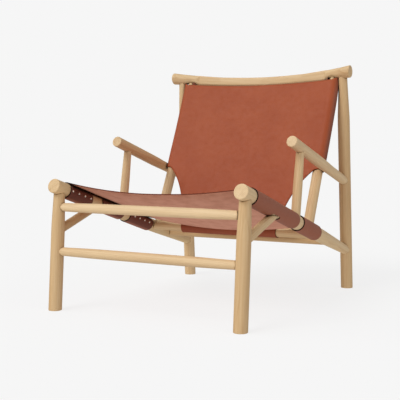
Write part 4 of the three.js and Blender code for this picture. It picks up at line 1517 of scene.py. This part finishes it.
@dataclass
class BackSling(Sling):
    """The back: a sheet between the two back posts, whose tongue goes down and round the seat bar."""

    name: str = "back_sling_leather"
    node: str = "back_sling"
    sags: tuple[float, float] = (0.005, 0.024)
    cut_share: float = 0.5
    # The back's sleeves take deeper painted shade than the seat's
    tone: float = 0.5
    ripple_size: float = 0.17
    ripple_depth: float = 0.0016
    ripple_seed: float = 9.0
    ripple_start: float = 0.05
    top_gap: float = 0.0308
    top_dip: float = 0.0005
    flap_rise: float = 0.0135
    flap_angles: tuple[float, float] = (math.radians(205), math.radians(258))
    slacks: tuple[float, float] = (0.0008, 0.0036)
    top_radius: float = 0.0165
    top_taper: float = 0.080
    wrap: float = math.radians(208)
    tongue_half: float = 0.1785
    tongue_curve: tuple[tuple[float, float], ...] = ((0.1925, 0.0930), (0.2265, 0.1719), (0.277, 0.2165))
    curve_steps: int = 24
    neck_gap: float = 0.008
    corner_radius: float = 0.006
    nails_to_post: int = 5
    nail_margin: float = 0.0325
    nails_to_tongue: int = 3
    tongue_nail_margin: float = 0.062
    tongue_nail_angle: float = math.radians(169)

    @classmethod
    def on(cls, plan: Plan) -> "BackSling":
        """The back over the plan's two back posts."""
        return cls(plan, plan.back_post_half_span, plan.back_post_radius)

    @property
    def start(self) -> float:
        """Where the sleeves begin, up the posts."""
        return self.plan.back_post_low_end

    @property
    def top(self) -> float:
        """Where the sleeves end, up the posts."""
        return self.plan.back_post().length - self.top_gap

    def wrap_radius(self) -> float:
        """The radius of the leather's middle round the seat bar."""
        return self.plan.seat_bar_radius + self.fit + self.thickness / 2

    def corners(self) -> list[Corner]:
        """Half the back's pattern: tongue, curved neck and sleeve."""
        widest = self.panel_half + self.sleeve_length(-self.flap)
        high, low_end = (self.panel_half + self.sleeve_length(angle) for angle in self.flap_angles)
        curve = ((self.tongue_half, 0.0), *self.tongue_curve)
        radius, flap_top = self.corner_radius, self.top + self.flap_rise
        return [
            Corner(self.tongue_half, -self.wrap * self.wrap_radius(), radius),
            *(Corner(*bezier(curve, k / self.curve_steps)) for k in range(self.curve_steps + 1)),
            Corner(self.panel_half + self.neck_gap, self.start), Corner(widest, self.start, radius),
            Corner(widest, flap_top, radius), Corner(high, flap_top, radius), Corner(low_end, self.top, radius),
        ]

    def radius_at(self, along: float) -> float:
        """The back post's radius inside its sleeve."""
        plan = self.plan
        low_share = smooth((along - self.start) / plan.back_post_low_taper)
        radius = lerp(plan.back_post_low_radius, self.bar_radius, low_share)
        return lerp(radius, self.top_radius, smooth((along - self.top + self.top_taper) / self.top_taper))

    def ways(self) -> tuple[Vector, Vector]:
        """The unit vectors up along the back and out of its face."""
        way = self.plan.back_post().way
        upward = Vector((0, way.y, way.z)).normalized()
        return upward, Vector((0, -upward.z, upward.y))

    def round_seat_bar(self, angle: float) -> Vector:
        """The unit vector out of the tongue, at an angle that it has gone round the seat bar."""
        upward, rise = self.ways()
        return rise * math.cos(angle) - upward * math.sin(angle)

    def spot(self, across: float, along: float, height: float) -> Vector:
        """A point of the hung back."""
        post = self.plan.back_post()
        low_sag, top_sag = self.sags
        share = min(max(along / self.start, 0), 1)
        top_share = max(0, (along - self.start) / (self.top - self.start))
        sag = lerp(low_sag, top_sag, top_share) if along > self.start else low_sag * share
        x, up, normal_x, normal_up = self.section(across, post.at(max(along, 0)).x, self.radius_at(along), sag)
        sign = math.copysign(1, across)
        x += sign * lerp(*self.slacks, min(top_share, 1)) * max(sign * normal_x, 0) ** 2
        if along < 0:
            outward = self.round_seat_bar(-along / self.wrap_radius())
            return Vector((x, post.start.y, post.start.z)) + outward * (self.plan.seat_bar_radius + self.fit + height)
        up += self.ripple(across, along) * smooth(along / self.ripple_start)
        panel_share = min(abs(across) / self.panel_half, 1)
        climb = along - self.top_dip * top_share * (1 - panel_share ** 2)
        bowed = post.at(along) - Axis(post.start, post.end).at(along)
        centre = Vector((x + normal_x * height, post.start.y, post.start.z)) + bowed
        upward, rise = self.ways()
        return centre + upward * climb + rise * (up + normal_up * height)

    def rests_on(self) -> list[str]:
        """The back hangs from its posts and the seat bar."""
        return [*(f"back_post_{side.word}_wood" for side in Side), "rear_seat_bar_wood"]

    def nails(self) -> list[Nail]:
        """Nails up the inner side of both posts."""
        low, high = self.start + self.nail_margin, self.top - self.nail_margin
        return self.nails_along(self.plan.back_post(), spread(low, high, self.nails_to_post))

    def tongue_nails(self) -> list[Nail]:
        """Nails through the tongue's end, behind the seat bar."""
        foot, outward = self.plan.back_post().start, self.round_seat_bar(self.tongue_nail_angle)
        reach = self.tongue_half - self.tongue_nail_margin
        return [self.nail(Vector((x, foot.y, foot.z)), outward, self.plan.seat_bar_radius)
                for x in spread(-reach, reach, self.nails_to_tongue)]


def bezier(points: Sequence[Sequence[float]], share: float) -> tuple[float, float]:
    """A point of a cubic curve in the plane."""
    rest = 1 - share
    weights = (rest ** 3, 3 * rest ** 2 * share, 3 * rest * share ** 2, share ** 3)
    return tuple(sum(w * p[axis] for w, p in zip(weights, points)) for axis in (0, 1))


# ---- Nail heads

@dataclass
class NailHeads:
    """Rows of small domed heads, set on their places by geometry nodes."""

    head_radius: float = 0.0036
    head_height: float = 0.0022
    uneven: float = 0.06
    seed: int = 4
    ball_segments: int = 18
    ball_rings: int = 12
    dome_floor: float = -0.25

    def values(self) -> dict[str, float]:
        """What goes into the node tree's inputs."""
        return {"Head Radius": self.head_radius, "Head Height": self.head_height, "Uneven": self.uneven,
                "Seed": self.seed}

    def tree(self, brass: bpy.types.Material) -> bpy.types.GeometryNodeTree:
        """Builds the node tree, whose inputs are the head's sizes, its unevenness and the seed."""
        tree = bpy.data.node_groups.new("nail_heads", "GeometryNodeTree")
        tree.interface.new_socket("Places", in_out="INPUT", socket_type="NodeSocketGeometry")
        for name, value in self.values().items():
            kind = "NodeSocketInt" if isinstance(value, int) else "NodeSocketFloat"
            tree.interface.new_socket(name, in_out="INPUT", socket_type=kind)
        tree.interface.new_socket("Heads", in_out="OUTPUT", socket_type="NodeSocketGeometry")
        nodes = Nodes(tree)
        given = nodes.add("NodeGroupInput").outputs
        ball = nodes.add("GeometryNodeMeshUVSphere",
                         {"Segments": self.ball_segments, "Rings": self.ball_rings, "Radius": 1})
        position = nodes.add("GeometryNodeInputPosition").outputs[0]
        spot = nodes.add("ShaderNodeSeparateXYZ", {0: position}).outputs
        level = nodes.add("ShaderNodeMath", {0: spot["Z"], 1: self.dome_floor}, operation="MAXIMUM")
        cut = nodes.add("ShaderNodeCombineXYZ", {"X": spot["X"], "Y": spot["Y"], "Z": level.outputs[0]})
        dome = nodes.add("GeometryNodeSetPosition", {"Geometry": ball.outputs["Mesh"], "Position": cut.outputs[0]})
        size = nodes.add("ShaderNodeCombineXYZ", {"X": given["Head Radius"], "Y": given["Head Radius"],
                                                  "Z": given["Head Height"]})
        head = nodes.add("GeometryNodeTransform", {"Geometry": dome.outputs[0], "Scale": size.outputs[0]})
        facing = nodes.add("GeometryNodeInputNamedAttribute", {"Name": "facing"}, data_type="FLOAT_VECTOR")
        turn = nodes.add("FunctionNodeAlignRotationToVector", {"Vector": facing.outputs["Attribute"]}, axis="Z")
        chance = nodes.add("FunctionNodeRandomValue", {"Seed": given["Seed"]})
        limits = [socket for socket in chance.inputs if socket.type == "VALUE"]
        for limit, operation in zip(limits, ("SUBTRACT", "ADD")):
            share = nodes.add("ShaderNodeMath", {0: 1, 1: given["Uneven"]}, operation=operation)
            nodes.fill(limit, share.outputs[0])
        chosen = next(socket for socket in chance.outputs if socket.type == "VALUE")
        heads = nodes.add("GeometryNodeInstanceOnPoints", {"Points": given["Places"], "Instance": head.outputs[0],
                                                           "Rotation": turn.outputs[0], "Scale": chosen})
        for kind in ("GeometryNodeRealizeInstances", "GeometryNodeSetShadeSmooth", "GeometryNodeSetMaterial"):
            heads = nodes.add(kind, {0: heads.outputs[0]})
        nodes.fill(heads.inputs["Material"], brass)
        nodes.add("NodeGroupOutput", {0: heads.outputs[0]})
        return tree

    def build(self, name: str, nails: list[Nail], nodes: list[str], finishes: Finishes) -> None:
        """Makes one group of nail heads.

        Args:
            name: The piece's name.
            nails: Where the nails are.
            nodes: The CAD nails that the piece stands for.
            finishes: The chair's materials.
        """
        mesh = bpy.data.meshes.new(name)
        mesh.from_pydata([tuple(nail.base) for nail in nails], [], [])
        layer = mesh.attributes.new("facing", "FLOAT_VECTOR", "POINT")
        layer.data.foreach_set("vector", [c for nail in nails for c in nail.outward])
        piece = add_object(name, mesh)
        modifier = piece.modifiers.new("heads", "NODES")
        modifier.node_group = self.tree(finishes.brass)
        inputs = {item.name: item.identifier for item in modifier.node_group.interface.items_tree}
        for label, value in self.values().items():
            modifier[inputs[label]] = value
        seen = piece.evaluated_get(bpy.context.evaluated_depsgraph_get())
        baked = bpy.data.meshes.new_from_object(seen)
        piece.modifiers.remove(modifier)
        piece.data = baked
        baked.name = name
        hand_over(piece, nodes)


# ---- Studio

@dataclass(frozen=True)
class Sun:
    """A far soft light, by the direction that it comes from."""

    name: str
    azimuth: float
    height: float
    strength: float
    softness: float
    tint: Colour = WHITE

    def make(self) -> None:
        """Adds the light to the scene."""
        data = bpy.data.lights.new(self.name, "SUN")
        data.energy, data.angle, data.color = self.strength, self.softness, self.tint
        aim(add_object(self.name, data), self.azimuth, self.height)

    def on_floor(self) -> float:
        """How much light the floor gets from it, as the glow of a white floor."""
        return self.strength * max(math.sin(self.height), 0) / math.pi


@dataclass
class Studio:
    """Camera, floor and soft light."""

    camera_place: tuple[float, float, float] = (1.32434, -2.41544, 0.50560)
    azimuth: float = math.radians(29.4995)
    elevation: float = math.radians(3.8132)
    lens: float = 76.26
    sensor: float = 36.0
    floor_size: float = 120.0
    ground_tone: float = 0.922
    floor_own: float = 0.16
    sky: float = 0.36
    suns: tuple[Sun, ...] = (
        Sun("key", math.radians(-20), math.radians(44), 1.30, math.radians(30)),
        Sun("side", math.radians(-60), math.radians(40), 0.55, math.radians(40)),
        Sun("fill", math.radians(85), math.radians(20), 0.55, math.radians(60)),
        Sun("bounce", math.radians(0), math.radians(-50), 0.92, math.radians(90), (1.0, 0.95, 0.91)),
    )

    def build(self) -> None:
        """Sets up the studio."""
        self.add_camera()
        self.add_floor()
        self.add_sky()
        for sun in self.suns:
            sun.make()
        bpy.context.scene.view_settings.view_transform = "Standard"

    def add_camera(self) -> None:
        """The camera stands to the front right, and looks slightly down."""
        data = bpy.data.cameras.new("camera")
        data.lens, data.sensor_width, data.sensor_fit = self.lens, self.sensor, "HORIZONTAL"
        data.clip_end = 2 * self.floor_size
        camera = add_object("camera", data)
        camera.location = self.camera_place
        aim(camera, self.azimuth, self.elevation)
        bpy.context.scene.camera = camera

    def add_floor(self) -> None:
        """A plain pale floor, as bright as the ground behind it."""
        half = self.floor_size / 2
        corners = [(-half, -half, FLOOR), (half, -half, FLOOR), (half, half, FLOOR), (-half, half, FLOOR)]
        mesh = bpy.data.meshes.new("studio_floor")
        mesh.from_pydata(corners, [], [tuple(range(len(corners)))])
        light = self.sky + sum(sun.on_floor() for sun in self.suns)
        mesh.materials.append(FloorFinish(self.ground_tone, self.floor_own, light).make())
        floor = add_object("studio_floor", mesh)
        floor.visible_diffuse = floor.visible_glossy = floor.visible_shadow = False

    def add_sky(self) -> None:
        """An even pale ground behind the chair, and a dimmer even sky that lights it."""
        world = bpy.data.worlds.new("studio_sky")
        world.use_nodes = True
        nodes = Nodes(world.node_tree)
        seen = nodes.add("ShaderNodeLightPath").outputs["Is Camera Ray"]
        strength = nodes.add("ShaderNodeMapRange", {"Value": seen, "To Min": self.sky, "To Max": self.ground_tone})
        background = world.node_tree.nodes["Background"].inputs
        nodes.fill(background["Color"], WHITE)
        nodes.fill(background["Strength"], strength.outputs["Result"])
        bpy.context.scene.world = world


# ---- The whole chair

def main() -> None:
    """Builds the chair piece by piece, and the studio round it."""
    logging.basicConfig(level=logging.INFO, format="%(name)s: %(message)s")
    plan = Plan.from_frame()
    finishes = Finishes.make()
    Studio().build()
    seat, back = SeatSling.on(plan), BackSling.on(plan)
    for part in (*(SideFrame(plan, side) for side in Side), CrossBars(plan), CrestRail(plan), seat, back):
        part.build(finishes)
    heads = NailHeads()
    for stem, nails in (("seat_nail", seat.nails()), ("back_nail", back.nails()),
                        ("tongue_nail", back.tongue_nails())):
        nodes = [node for node in frame["nodes"] if node.startswith(stem)]
        heads.build(f"{stem}_heads", nails, nodes, finishes)


if __name__ == "__main__":
    main()
